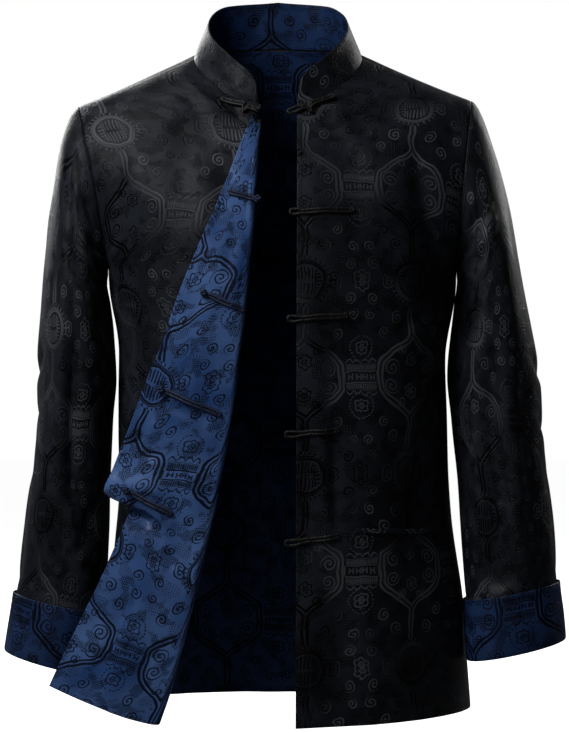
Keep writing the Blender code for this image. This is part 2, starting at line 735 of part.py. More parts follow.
def build_sleeves(finish, cuff_finish):
    """Each sleeve from its armhole to its hem, and the turned-up cuff round it."""
    turn = (np.arange(18) * 2 * np.pi / 18)[None]
    for side, name in ((LEFT, "left"), (RIGHT, "right")):
        last = len(SLEEVES[side]) - 1
        station = np.arange(last + 1, dtype=float)[:, None]
        grid = sleeve_ring(side, station, turn)
        step = ARMHOLE_STEP * np.clip(1 - station, 0, 1)
        grid[..., 0] += side * step
        cloth(f"sleeve_{name}", creased(f"sleeve_{name}", grid, True), finish, closed=True)
        cuff_station = np.linspace(CUFF_RING, last, 3)[:, None]
        cloth(f"cuff_{name}", cuff_surface(side, cuff_station + 0 * turn, turn + 0 * cuff_station),
              cuff_finish, closed=True)


def build_collar(finish):
    """The stand collar, from one front edge round the back to the other."""
    ends = NECK_START + np.array([0, 0.35, 1.0, 2.0]) * COLLAR_CORNER / NECK_HALF_WIDTH
    middle = np.linspace(ends[-1], 2 * np.pi - ends[-1], 21)[1:-1]
    turn = np.concatenate([ends, middle, 2 * np.pi - ends[::-1]])[None]
    share = np.linspace(0, 1, 4)[:, None]
    cloth("collar", collar_surface(turn + 0 * share, share + 0 * turn), finish)


def build_pocket(finish):
    """The welt of the slit pocket, a narrow lip laid on the left front."""
    points, normals = path_on("left", POCKET_INNER_X, POCKET_INNER_Z,
                              POCKET_OUTER_X, POCKET_OUTER_Z, 9)
    middles = points + (WALL / 2 + SEAM_GAP + WELT_HALF_HEIGHT) * normals
    widths = np.full(9, WELT_HALF_WIDTH)
    bar("pocket_welt_left", middles, normals, widths, np.full(9, WELT_HALF_HEIGHT), finish)


def build_frogs(finish):
    """Loops on the left edge and knotted buttons on the right front."""
    for frog in LOOPS:
        frog_bar(frog, finish, ball=False)
    for frog in BUTTONS:
        frog_bar(frog, finish, ball=True)


def main():
    """Clear the scene and build every piece."""
    for old in list(bpy.data.objects):
        bpy.data.objects.remove(old)
    outer = material("outer_brocade", (0.010, 0.011, 0.013), 0.5)
    reverse = material("reverse_brocade", (0.020, 0.035, 0.100), 0.45)
    cord = material("frog_cord", (0.006, 0.006, 0.008), 0.6)
    build_fronts(outer)
    build_back(outer)
    build_sleeves(outer, reverse)
    build_collar(outer)
    build_pocket(outer)
    build_frogs(cord)


main()
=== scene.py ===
"""Looks of a worn tang jacket: reversible brocade, black outside and navy inside.

The wearer faces -Y and their left is +X, in metres. Every sheet of cloth is a surface
worked out on a grid, pressed with its creases, and closed into a thin shell whose outer
face is the black side and whose other face is the navy side. The brocade is drawn by
shader node groups that read the cloth's own measure, so it follows every fold.
"""

from __future__ import annotations

import logging
from dataclasses import dataclass, field, replace
from enum import Enum
from typing import NamedTuple

import bpy
import numpy as np
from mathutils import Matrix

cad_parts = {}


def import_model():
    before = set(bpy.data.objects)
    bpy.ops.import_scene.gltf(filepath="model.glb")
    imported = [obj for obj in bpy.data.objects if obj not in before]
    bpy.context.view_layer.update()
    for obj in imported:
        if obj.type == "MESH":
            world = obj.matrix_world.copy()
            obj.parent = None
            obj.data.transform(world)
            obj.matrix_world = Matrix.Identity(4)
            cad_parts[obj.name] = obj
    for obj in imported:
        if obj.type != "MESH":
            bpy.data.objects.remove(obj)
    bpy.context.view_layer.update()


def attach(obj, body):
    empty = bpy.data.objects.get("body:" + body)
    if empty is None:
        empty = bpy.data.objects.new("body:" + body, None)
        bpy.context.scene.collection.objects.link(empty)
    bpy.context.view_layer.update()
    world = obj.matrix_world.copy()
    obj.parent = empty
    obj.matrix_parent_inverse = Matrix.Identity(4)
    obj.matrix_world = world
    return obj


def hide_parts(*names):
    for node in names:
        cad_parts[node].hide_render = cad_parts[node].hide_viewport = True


LOG = logging.getLogger("tang_jacket")
Array = np.ndarray
Pair = tuple[float, float]
Triple = tuple[float, float, float]
Quad = tuple[float, float, float, float]
join = np.concatenate
Object = bpy.types.Object
Material = bpy.types.Material
Tree = bpy.types.ShaderNodeTree
Node = bpy.types.ShaderNode
Socket = bpy.types.NodeSocket
DEGREE = np.pi / 180

WALL = 0.0015
EDGE_SHARE = (0.45, 0.80, 0.95)
ROLLED_EDGE = (0.0005, 0.0013, 0.0024)


class Wearer(Enum):
    """The wearer's left or right, as the sign of X."""

    LEFT = 1
    RIGHT = -1


class View(Enum):
    """The side a crease is laid out from: its two axes, and the way that the cloth faces."""

    FRONT = (0, 2, 1, -1)
    BACK = (0, 2, 1, 1)
    LEFT = (1, 2, 0, 1)
    RIGHT = (1, 2, 0, -1)


# --- curves and tables
def column(table: tuple, name: str) -> Array:
    """One named column of a table."""
    return np.array([getattr(row, name) for row in table], float)


def lerp(low: Array | float, high: Array | float, share: Array | float) -> Array | float:
    """The value a given share of the way from low to high."""
    return low + (high - low) * share


def ease(share: Array | float) -> Array:
    """0 to 1 with level ends: 3s^2 - 2s^3 of the share, held to 0..1."""
    share = np.clip(share, 0, 1)
    return share * share * (3 - 2 * share)


def stack(x: Array | float, y: Array | float, z: Array | float) -> Array:
    """Coordinates as an array of points."""
    return np.stack(np.broadcast_arrays(x, y, z), axis=-1).astype(float)


def unit(vectors: Array) -> Array:
    """The same directions, each of length 1."""
    return vectors / np.maximum(np.linalg.norm(vectors, axis=-1, keepdims=True), 1e-12)


def smooth(knots: Array, values: Array, at: Array) -> Array:
    """Values read from a smooth curve that keeps between neighbouring knots.

    Each span is a cubic whose end slopes are the harmonic mean of the steps beside it.

    Args:
        knots: places that values are given for, in any order.
        values: one value for each knot.
        at: places to read.

    Returns:
        The curve's values at those places.
    """
    order = np.argsort(knots)
    knots, values = np.asarray(knots)[order], np.asarray(values)[order]
    at = np.clip(np.asarray(at, float), knots[0], knots[-1])
    steps = np.diff(values) / np.diff(knots)
    both = steps[:-1] * steps[1:]
    total = steps[:-1] + steps[1:]
    inner = np.where(both > 0, 2 * both / np.where(both > 0, total, 1), 0)
    slopes = join([steps[:1], inner, steps[-1:]])
    i = np.clip(np.searchsorted(knots, at) - 1, 0, len(knots) - 2)
    span = knots[i + 1] - knots[i]
    t = (at - knots[i]) / span
    rise = values[i + 1] - values[i]
    return (values[i] + rise * ease(t) + span * t * (1 - t) ** 2 * slopes[i]
            - span * t * t * (1 - t) * slopes[i + 1])


def read(table: tuple, key: str, name: str, at: Array) -> Array:
    """The named column of a table, read at a value of its key column."""
    return smooth(column(table, key), column(table, name), at)


def spread(count: int, length: float, low: bool = True, high: bool = True) -> Array:
    """Shares from 0 to 1 in even steps, with finer steps at the ends that are cut edges."""
    fine = np.array(ROLLED_EDGE) / length
    start = fine[-1] if low else 0.0
    end = 1 - fine[-1] if high else 1.0
    middle = np.linspace(start, end, count)
    ends = [[0.0], fine[:-1]] if low else [[]]
    tail = [1 - fine[:-1][::-1], [1.0]] if high else [[]]
    return join([*ends, middle, *tail])


# --- sizes of the form
class SideSeam(NamedTuple):
    """Half-widths of the body at one height, down both side seams."""

    height: float
    right: float
    left: float


class Centre(NamedTuple):
    """How far the centre front and the centre back stand from the neck's axis."""

    height: float
    front: float
    back: float


class Neck(NamedTuple):
    """Heights of the neck seam and of the collar's top edge, round from centre front."""

    turn: float
    seam: float
    top: float


class Turnback(NamedTuple):
    """One row of the turned-back front: its fold, and its free edge."""

    fold_height: float
    fold_out: float
    edge_height: float
    edge_out: float
    edge_forward: float


class SleeveRing(NamedTuple):
    """One ring of a sleeve: its outer and inner ends, and its middle and half-depth."""

    outer_out: float
    outer_height: float
    inner_out: float
    inner_height: float
    forward: float
    depth: float


class Crease(NamedTuple):
    """A soft ridge (height > 0) or trough, laid out on the two axes of its view.

    It runs from (a0, b0) to (a1, b1), bowed sideways by bow, width to either side, and
    lean moves its steep flank: 0 is even, 1 is a sharp step on the right of its run.
    """

    view: View
    a0: float
    b0: float
    a1: float
    b1: float
    bow: float
    width: float
    height: float
    lean: float = 0.0


def millimetres(kind: type, *rows: tuple[float, ...]) -> tuple:
    """A table in metres of rows given in millimetres."""
    return tuple(kind(*(size / 1000 for size in row)) for row in rows)


def creases(view: View, *rows: tuple[float, ...]) -> tuple[Crease, ...]:
    """Creases of one view: seven sizes in millimetres each, then the lean if there is one."""
    return tuple(Crease(view, *(size / 1000 for size in row[:7]), *row[7:]) for row in rows)


class Frog(NamedTuple):
    """A frog's two ends seen from the front: the one at the edge, and the sewn one."""

    name: str
    panel: str
    edge_x: float
    edge_z: float
    sewn_x: float
    sewn_z: float
    reach: float


LEFT_HEM = -0.7200
RIGHT_HEM = -0.7265
SIDE_HEM = -0.7140
BACK_HEM = -0.7160

SIDE_SEAMS = millimetres(
    SideSeam,
    (-730, 196, 211), (-660, 190, 206.5), (-594, 183.5, 202), (-500, 176.5, 190),
    (-440, 174.5, 185.8), (-360, 174.2, 182.5), (-300, 175.2, 185), (-220, 185, 194.5),
)

CENTRES = millimetres(
    Centre,
    (-730, 128, 125), (-640, 125, 123), (-540, 122, 118), (-440, 120.5, 112),
    (-360, 121.5, 110.5), (-280, 122.5, 113.5), (-200, 116, 113), (-150, 106, 106),
    (-100, 89, 94), (-60, 68.8, 82), (-20, 56, 69), (16, 50, 58),
)

NECKS = (
    Neck(0, -0.0605, -0.0240),
    Neck(27, -0.0540, -0.0180),
    Neck(50, -0.0350, 0.0015),
    Neck(75, -0.0130, 0.0220),
    Neck(90, -0.0025, 0.0340),
    Neck(110, 0.0060, 0.0490),
    Neck(135, 0.0120, 0.0600),
    Neck(180, 0.0160, 0.0665),
)

FLAP_TOP = -0.0780
TURNBACKS = millimetres(
    Turnback,
    (-726.5, 122.3, -680, 242.5, 90), (-690, 110.3, -645, 227, 92.5),
    (-650, 99.8, -606, 208, 96), (-613.5, 91, -570, 189.6, 99), (-578, 82.2, -534, 173.5, 101),
    (-548, 75.5, -505, 162, 103), (-532, 72, -489.5, 158, 102),
    (-516, 68.8, -473.5, 183.5, 104), (-495, 64.2, -452, 175.5, 105),
    (-450, 56.2, -409, 158.5, 108), (-400, 47.5, -364, 141.5, 113),
    (-349.4, 40.7, -322, 124.5, 119), (-278, 32.6, -259, 102.3, 123.5),
    (-200, 25.1, -184, 70.5, 121.5), (-145.3, 22.1, -133.6, 50.7, 108),
    (-78, 17.2, -71.5, 26.2, 89),
)

SLEEVES = {
    Wearer.LEFT: millimetres(
        SleeveRing,
        (211.5, -50, 195, -235, 0, 57), (222.5, -64.5, 198.5, -237, 0, 59),
        (235.5, -101, 199, -238.5, 0, 61.5), (247, -142, 199, -240.5, 0, 63.5),
        (256.2, -187, 199.2, -245, 0, 65), (262.5, -226, 198, -256, 1, 65.5),
        (269.5, -270, 194, -278, 3, 65), (275, -305, 189.8, -307, 5, 64),
        (282, -348, 186.6, -350, 6, 62.5), (288.7, -397, 192, -401, 6, 60.5),
        (295.8, -460, 197.2, -470, 14, 57.5), (300.5, -518, 200, -533, 22, 54),
        (301.5, -573.5, 205, -593, 32, 49), (305.5, -606.5, 206, -626, 37, 47.5),
        (308.5, -635, 207, -658, 41, 46),
    ),
    Wearer.RIGHT: millimetres(
        SleeveRing,
        (218, -56, 185.5, -230, 0, 57), (228, -70, 188.5, -232.5, 0, 59),
        (238, -104, 189, -234, 0, 61.5), (245.3, -146, 189, -236.5, 0, 63.5),
        (249.7, -186, 188.5, -241, 0, 65), (253, -225, 188.3, -251, 1, 65.5),
        (256.3, -269, 184.2, -274, 3, 65), (258.7, -305, 180.5, -306, 4, 64),
        (261.5, -350, 179, -352, 5, 62.5), (264.3, -397, 182.2, -400, 6, 60),
        (270.5, -460, 183.5, -468, 8, 57), (277.5, -520, 186, -534, 10, 53.5),
        (285, -587, 192, -608, 14, 49), (290.5, -620, 195, -643, 16, 47.5),
        (296, -650, 198.5, -676, 18, 46),
    ),
}
CUFF_RING = 12

LOOPS = (
    Frog("frog_loop_1", "left", 0.0220, -0.0665, 0.0580, -0.0530, 0.0095),
    Frog("frog_loop_2", "left", 0.0216, -0.1783, 0.0779, -0.1762, 0.0060),
    Frog("frog_loop_3", "left", 0.0212, -0.2906, 0.0705, -0.2875, 0.0080),
    Frog("frog_loop_4", "left", 0.0207, -0.4114, 0.0621, -0.4082, 0.0100),
    Frog("frog_loop_5", "left", 0.0203, -0.5248, 0.0621, -0.5195, 0.0095),
)
BUTTONS = (
    Frog("frog_button_1", "right", -0.0225, -0.0672, -0.0590, -0.0555, 0.0060),
    Frog("frog_button_2", "flap", -0.0240, -0.1650, -0.0500, -0.1575, 0.0030),
    Frog("frog_button_3", "flap", -0.0744, -0.2655, -0.0375, -0.2815, 0.0020),
    Frog("frog_button_4", "flap", -0.1190, -0.3665, -0.0618, -0.3904, 0.0020),
    Frog("frog_button_5", "flap", -0.1560, -0.4735, -0.1132, -0.4948, 0.0020),
)


# --- the worn form
class Cut(NamedTuple):
    """What tells a front from a half of the back."""

    hems: dict
    depth: str
    neck_share: float
    neck_start: float
    neck_seam: float
    fullness: float
    facing: int


@dataclass(frozen=True)
class WornForm:
    """The shape that the jacket keeps: neck, shoulders, armholes, body, sleeves."""

    neck_half_width: float = 0.0920
    neck_front: float = 0.0700
    neck_back: float = 0.0580
    edge_at_hem: float = 0.0185
    edge_at_neck: float = 0.0205
    chest_swing: float = 90 * DEGREE
    shoulder_swing: float = 50 * DEGREE
    side_gap: float = 0.0007
    shoulder_gap: float = 0.0009
    bend_radius: float = 0.0042
    cad_wall: float = 0.0020
    armhole_bow: float = 0.0040
    flap_lift: float = 0.0030
    hem_lift_power: float = 1.3

    @property
    def neck_start(self) -> float:
        """Turn round the neck seam where a front's edge meets it."""
        return float(np.arcsin(self.edge_at_neck / self.neck_half_width))

    @property
    def front(self) -> Cut:
        """The fronts' cut."""
        hems = {Wearer.LEFT: LEFT_HEM, Wearer.RIGHT: RIGHT_HEM}
        return Cut(hems, "front", 0.60, self.neck_start, NECKS[0].seam, 0.0050, -1)

    @property
    def back(self) -> Cut:
        """The back's cut."""
        hems = {Wearer.LEFT: BACK_HEM, Wearer.RIGHT: BACK_HEM}
        return Cut(hems, "back", 0.68, np.pi, NECKS[-1].seam, 0.0060, 1)

    def neckline(self, turn: Array) -> Array:
        """Neck seam: an oval, deeper in front, that falls from the back to the front."""
        depth = np.where(np.cos(turn) > 0, self.neck_front, self.neck_back)
        seam = read(NECKS, "turn", "seam", neck_turn(turn))
        return stack(self.neck_half_width * np.sin(turn), -depth * np.cos(turn), seam)

    def sleeve_ring(self, side: Wearer, station: Array, turn: Array) -> Array:
        """Sleeve section at a station of its table.

        An ellipse from the outer end (turn 0) round by the front to the inner end
        (half a turn), its middle and half-depth read from the table; near the armhole
        it bows in towards the body by the square of the turn's sine.

        Args:
            side: which sleeve.
            station: row of the sleeve's table, a fraction between rows.
            turn: angle round the section.

        Returns:
            The points.
        """
        table = SLEEVES[side]
        index = np.arange(len(table), dtype=float)
        part = {name: smooth(index, column(table, name), station) for name in SleeveRing._fields}
        cosine, sine = np.cos(turn), np.sin(turn)
        near_armhole = np.clip(1 - np.asarray(station) / 2, 0, 1)
        out = (part["outer_out"] + part["inner_out"]) / 2
        out = out + (part["outer_out"] - part["inner_out"]) / 2 * cosine
        out = out - self.armhole_bow * near_armhole * sine ** 2
        height = (part["outer_height"] + part["inner_height"]) / 2
        height = height + (part["outer_height"] - part["inner_height"]) / 2 * cosine
        return stack(side.value * out, -part["forward"] - part["depth"] * sine, height)

    def side_seam(self, side: Wearer, row: Array) -> Array:
        """Side seam from the hem (row 0) to the armhole (row 1)."""
        armpit = SLEEVES[side][0]
        height = lerp(SIDE_HEM, armpit.inner_height, row)
        name = "left" if side is Wearer.LEFT else "right"
        out = read(SIDE_SEAMS, "height", name, height)
        out = lerp(out, armpit.inner_out, ease((np.asarray(row) - 0.8) / 0.2))
        return stack(side.value * out, 0, height)

    def chest(self, side: Wearer, cut: Cut) -> float:
        """Height, at a panel's inner edge, of the row that meets the underarm."""
        if cut.facing < 0:
            return SLEEVES[side][0].inner_height
        return sum(rings[0].inner_height for rings in SLEEVES.values()) / 2

    def height_of(self, side: Wearer, cut: Cut, row: Array) -> Array:
        """Height of a row at the panel's inner edge, up to the neck."""
        chest = self.chest(side, cut)
        low = lerp(cut.hems[side], chest, np.clip(row, 0, 1))
        return low + (cut.neck_seam - chest) * np.clip((row - 1) / cut.neck_share, 0, 1)

    def row_at(self, side: Wearer, cut: Cut, height: Array) -> Array:
        """The row of a panel whose inner edge is at this height."""
        chest = self.chest(side, cut)
        below = (height - cut.hems[side]) / (chest - cut.hems[side])
        above = 1 + cut.neck_share * (height - chest) / (cut.neck_seam - chest)
        return np.where(height < chest, below, above)

    def inner_end(self, side: Wearer, cut: Cut, row: Array) -> Array:
        """Centre-front edge or centre back, and above it the neck seam to the shoulder.

        Args:
            side: the wearer's side.
            cut: front or back.
            row: 0 at the hem, 2 at the shoulder.

        Returns:
            The points.
        """
        height = self.height_of(side, cut, row)
        share = np.clip((row - 1 - cut.neck_share) / (1 - cut.neck_share), 0, 1)
        climb = np.clip(row / (1 + cut.neck_share), 0, 1)
        out = lerp(self.edge_at_hem, self.edge_at_neck, climb) * (cut.facing < 0)
        away = cut.facing * read(CENTRES, "height", cut.depth, height)
        neck = self.neckline(lerp(cut.neck_start, np.pi / 2, share))
        neck[..., 0] *= side.value
        return np.where((share > 0)[..., None], neck, stack(side.value * out, away, height))

    def outer_end(self, side: Wearer, cut: Cut, row: Array) -> Array:
        """Side seam, and above it the half of the armhole on this panel."""
        turn = np.pi * (1 + cut.facing * np.clip(row - 1, 0, 1))
        hole = self.sleeve_ring(side, 0 * turn, turn)
        return np.where((row > 1)[..., None], hole, self.side_seam(side, np.clip(row, 0, 1)))

    def swing(self, row: Array) -> Array:
        """How far round its oval a row goes: a quarter turn below the armholes."""
        return lerp(self.chest_swing, self.shoulder_swing, ease((row - 1) / 0.6))

    def panel(self, side: Wearer, cut: Cut, row: Array, across: Array) -> Array:
        """Half of the body, front or back.

        Each row is part of an oval from the inner end to the outer end: x and z go by
        the sine of the turn, y by 1 less its cosine. Above the chest the cloth is a
        little fuller in the middle.

        Args:
            side: the wearer's side.
            cut: front or back.
            row: 0 at the hem, 1 at the underarm, 2 at the shoulder seam.
            across: 0 at the edge, centre back or neck seam, 1 at the side or armhole.

        Returns:
            The points.
        """
        row, across = np.broadcast_arrays(np.asarray(row, float), np.asarray(across, float))
        inner, outer = self.inner_end(side, cut, row), self.outer_end(side, cut, row)
        swing = self.swing(row)
        along = np.sin(across * swing) / np.sin(swing)
        bend = (1 - np.cos(across * swing)) / (1 - np.cos(swing))
        point = lerp(inner, outer, along[..., None])
        point[..., 1] = lerp(inner[..., 1], outer[..., 1], bend)
        full = np.sin(np.pi * np.clip(row - 1, 0, 1)) * np.sin(np.pi * across)
        near_top = ease((row - 1.7) / 0.3)
        gap = self.shoulder_gap / 2 * near_top
        gap = gap + self.side_gap / 2 * (1 - near_top) * ease((across - 0.97) / 0.03)
        point[..., 1] += cut.facing * (cut.fullness * full + gap)
        return point

    def fold_across(self, row: Array) -> Array:
        """Where across the right front its main part ends and the bend begins.

        Args:
            row: rows of the right front.

        Returns:
            One share for each row.
        """
        side, cut = Wearer.RIGHT, self.front
        inner, outer = self.inner_end(side, cut, row), self.outer_end(side, cut, row)
        height = self.height_of(side, cut, row)
        out = read(TURNBACKS, "fold_height", "fold_out", height)
        out = out + self.bend_radius + self.cad_wall / 2
        along = (out - np.abs(inner[..., 0])) / (np.abs(outer[..., 0]) - np.abs(inner[..., 0]))
        swing = self.swing(row)
        share = np.arcsin(np.clip(along, 0, 1) * np.sin(swing)) / swing
        return share * (1 - ease((height - FLAP_TOP) / (NECKS[0].seam - FLAP_TOP)))

    def right_main(self, row: Array, share: Array) -> Array:
        """Right front from its fold (share 0) to the side (share 1)."""
        across = lerp(self.fold_across(row), 1, share)
        return self.panel(Wearer.RIGHT, self.front, row, across)

    def fold_frame(self, row: Array) -> tuple[Array, Array, Array]:
        """Start of the bend, with the direction across the panel and the one out of it."""
        start = self.right_main(row, 0 * row)
        tangent = start - self.right_main(row, 0 * row + 0.02)
        tangent[..., 2] *= 0.3
        tangent = unit(tangent)
        return start, tangent, unit(np.cross(tangent, np.array([0.0, 0.0, 1.0])))

    def right_bend(self, row: Array, turn: Array) -> Array:
        """The fold itself: a half round of cloth between the panel and the turnback."""
        start, tangent, out = self.fold_frame(row)
        return (start + self.bend_radius * np.sin(turn)[..., None] * tangent
                + self.bend_radius * (1 - np.cos(turn))[..., None] * out)

    def turnback(self, row: Array, share: Array) -> Array:
        """The turned-back part: share 0 at the fold, 1 at the free edge.

        Straight from fold to edge in x and y with a small arch of a half sine, while
        the height follows a power of the share, so the hem sweeps up to its corner.

        Args:
            row: rows of the right front.
            share: how far from the fold.

        Returns:
            The points.
        """
        row, share = np.broadcast_arrays(np.asarray(row, float), np.asarray(share, float))
        start, _, out = self.fold_frame(row)
        start = start + 2 * self.bend_radius * out
        height = self.height_of(Wearer.RIGHT, self.front, row)
        edge = {name: read(TURNBACKS, "fold_height", name, height)
                for name in ("edge_out", "edge_height", "edge_forward")}
        x = lerp(start[..., 0], -edge["edge_out"], share)
        arch = np.minimum(1.0, edge["edge_out"] / 0.1) * self.flap_lift * np.sin(np.pi * share)
        y = lerp(start[..., 1], -edge["edge_forward"], share) - arch
        sweep = np.maximum(share, 0) ** self.hem_lift_power
        return stack(x, y, lerp(start[..., 2], edge["edge_height"], sweep))


def neck_turn(turn: Array) -> Array:
    """Degrees from centre front, the same on both sides."""
    return 180 - np.abs(180 - np.asarray(turn) / DEGREE % 360)


FORM = WornForm()


# --- creases and shells
def grid_normals(grid: Array, closed: bool = False) -> Array:
    """Unit normals of a grid: the cross product of its steps across and along."""
    if closed:
        ring = join([grid[:, -1:], grid, grid[:, :1]], axis=1)
        across = ring[:, 2:] - ring[:, :-2]
    else:
        across = np.gradient(grid, axis=1)
    return unit(np.cross(across, np.gradient(grid, axis=0)))


def press(points: Array, normals: Array, creases: tuple[Crease, ...]) -> Array:
    """How far each point moves along its normal for the creases.

    A crease is a bell, exp(-(d/w)^2), of the distance d from its bowed line, narrower on
    the side that it leans to. It fades over the last fifth at both ends, and where the
    cloth turns away from the crease's view.

    Args:
        points: places on the smooth form.
        normals: which way the seen face of the cloth looks there.
        creases: the ridges and troughs to press in.

    Returns:
        One height for each point.
    """
    total = np.zeros(points.shape[:-1])
    for crease in creases:
        first, second, away_axis, facing = crease.view.value
        here = points[..., [first, second]] - np.array([crease.a0, crease.b0])
        line = np.array([crease.a1 - crease.a0, crease.b1 - crease.b0])
        length = np.linalg.norm(line)
        line = line / length
        share = here @ line / length
        held = np.clip(share, 0, 1)
        aside = here @ np.array([line[1], -line[0]]) - crease.bow * 4 * held * (1 - held)
        beyond = (share - held) * length
        width = crease.width * np.where(aside > 0, 1 - 0.7 * crease.lean, 1 + 0.5 * crease.lean)
        bell = np.exp(-(aside / width) ** 2 - (beyond / crease.width) ** 2)
        fade = 0.25 + 0.75 * ease(held / 0.2) * ease((1 - held) / 0.2)
        seen = np.clip(2.5 * facing * normals[..., away_axis], 0, 1)
        total += crease.height * bell * fade * seen
    return total


class Wave(NamedTuple):
    """A long, low ripple of the cloth: its lengths along x, y and z, its phase and height."""

    along_x: float
    along_y: float
    along_z: float
    phase: float
    height: float


WAVES = (
    Wave(0.170, 0.300, 0.230, 0.4, 0.0009),
    Wave(-0.096, 0.210, 0.310, 2.1, 0.0007),
    Wave(0.061, -0.120, 0.150, 4.4, 0.0004),
    Wave(-0.045, 0.080, -0.260, 1.2, 0.0003),
    Wave(0.038, 0.055, 0.090, 5.3, 0.00018),
)


def sway(points: Array) -> Array:
    """Sum of the long ripples, each a sine of the place measured in its wave's lengths."""
    total = np.zeros(points.shape[:-1])
    for wave in WAVES:
        lengths = np.array([wave.along_x, wave.along_y, wave.along_z])
        total += wave.height * np.sin(2 * np.pi * (points / lengths).sum(-1) + wave.phase)
    return total


def arc(grid: Array, axis: int) -> Array:
    """Length of cloth from the first line of a grid, measured along an axis of it."""
    steps = np.linalg.norm(np.diff(grid, axis=axis), axis=-1)
    zero = np.zeros_like(np.take(steps, [0], axis=axis))
    return join([zero, np.cumsum(steps, axis=axis)], axis=axis)


class Face(Enum):
    """The three kinds of face on a shell of cloth, as its material slots."""

    OUTSIDE = 0
    INSIDE = 1
    RIM = 2


@dataclass
class Shell:
    """A sheet of cloth on a grid: an outside face, an inside face and a rolled rim.

    Args:
        name: the piece's name.
        grid: points of the cloth's middle, rows by columns.
        measure: the cloth's own coordinates in metres, with one more column if closed.
        closed: True when the last column joins the first.
        flip: True when the grid's normals point to the inside.
        keep: which quads exist; None keeps all.
        edge: distance to the nearest sewn edge, for each point.
        wall: thickness of the cloth.
    """

    name: str
    grid: Array
    measure: Array
    closed: bool = False
    flip: bool = False
    keep: Array | None = None
    edge: Array | None = None
    wall: float = WALL

    def corners(self) -> tuple[Array, Array]:
        """Point numbers and cloth coordinates of the corners of every kept quad."""
        rows, columns = self.grid.shape[:2]
        count = columns if self.closed else columns - 1
        i, j = np.meshgrid(np.arange(rows - 1), np.arange(count), indexing="ij")
        after = (j + 1) % columns
        ids = np.stack([i * columns + j, i * columns + after,
                        (i + 1) * columns + after, (i + 1) * columns + j], axis=-1)
        cloth = np.stack([self.measure[i, j], self.measure[i, j + 1],
                          self.measure[i + 1, j + 1], self.measure[i + 1, j]], axis=-2)
        if self.keep is not None:
            ids, cloth = ids[self.keep], cloth[self.keep]
        ids, cloth = ids.reshape(-1, 4), cloth.reshape(-1, 4, 2)
        return (ids[:, ::-1], cloth[:, ::-1]) if self.flip else (ids, cloth)

    @staticmethod
    def border(ids: Array) -> Array:
        """Which sides of the quads are on the border: those that one quad alone has."""
        ends = np.stack([ids, np.roll(ids, -1, axis=1)], axis=-1).reshape(-1, 2)
        ordered = np.sort(ends, axis=1)
        _, place, times = np.unique(ordered, axis=0, return_inverse=True, return_counts=True)
        return (times[place.reshape(-1)] == 1).reshape(ids.shape)

    def rings(self, ids: Array, border: Array) -> Array:
        """Quads between each point and the border: 0 on it, up to 3."""
        ring = np.full(self.grid.shape[0] * self.grid.shape[1], len(EDGE_SHARE))
        ring[ids[border]] = 0
        ring[np.roll(ids, -1, axis=1)[border]] = 0
        for step in range(1, len(EDGE_SHARE)):
            nearest = ring[ids].min(axis=1, keepdims=True) + 1
            np.minimum.at(ring, ids.reshape(-1), np.repeat(nearest, 4, axis=1).reshape(-1))
        return ring

    def build(self, finishes: list[Material]) -> Object:
        """Make the closed shell.

        The outside is the grid moved out by half the wall along its normals and the
        inside the grid moved in; both draw together over the last lines before the
        border, and the rim joins them there.

        Args:
            finishes: the materials of the outside, the inside and the rim.

        Returns:
            The new object.
        """
        ids, cloth = self.corners()
        border = self.border(ids)
        ring = self.rings(ids, border)
        shares = np.array([*EDGE_SHARE, 1.0])[ring]
        normals = grid_normals(self.grid, self.closed).reshape(-1, 3) * (-1 if self.flip else 1)
        half = normals * (shares * self.wall / 2)[:, None]
        flat = self.grid.reshape(-1, 3)
        count = len(flat)
        after = np.roll(ids, -1, axis=1)
        cloth_after = np.roll(cloth, -1, axis=1)
        a, b = ids[border], after[border]
        rim = np.stack([b, a, a + count, b + count], axis=-1)
        rim_cloth = np.stack([cloth_after[border], cloth[border],
                              cloth[border], cloth_after[border]], axis=-2)
        inside = ids[:, ::-1] + count
        faces = join([ids, inside, rim])
        corners = join([cloth, cloth[:, ::-1], rim_cloth])
        at_edge = ring[ids].min(axis=1) < 1
        kinds = join([np.full(len(ids), Face.OUTSIDE.value),
                                np.where(at_edge, Face.RIM.value, Face.INSIDE.value),
                                np.full(len(rim), Face.RIM.value)])
        used, faces = np.unique(faces, return_inverse=True)
        faces = faces.reshape(-1, 4)
        points = join([flat + half, flat - half])[used]
        edge = np.ones(count) if self.edge is None else self.edge.reshape(-1)
        made = quad_object(self.name, points, faces, corners, kinds, finishes)
        layer = made.data.attributes.new("edge", "FLOAT", "POINT")
        layer.data.foreach_set("value", join([edge, edge])[used].astype(np.float32))
        return made


@dataclass
class BackShell(Shell):
    """The back's shell, whose two centre columns are one where they lie together."""

    seam: int = 0

    def corners(self) -> tuple[Array, Array]:
        """The quads' corners, with the doubled centre column joined below the neck."""
        ids, cloth = super().corners()
        columns = self.grid.shape[1]
        together = np.linalg.norm(self.grid[:, self.seam] - self.grid[:, self.seam + 1],
                                  axis=-1) < 1e-6
        row, place = ids // columns, ids % columns
        return np.where((place == self.seam + 1) & together[row], ids - 1, ids), cloth


def put_on(made: Object, node: str) -> Object:
    """Let a piece stand for its node on the jacket's one body, hiding the node's own part."""
    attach(made, "root")
    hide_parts(node)
    return made


def add_object(name: str, data: bpy.types.ID) -> Object:
    """A new object in the scene."""
    made = bpy.data.objects.new(name, data)
    bpy.context.scene.collection.objects.link(made)
    return made


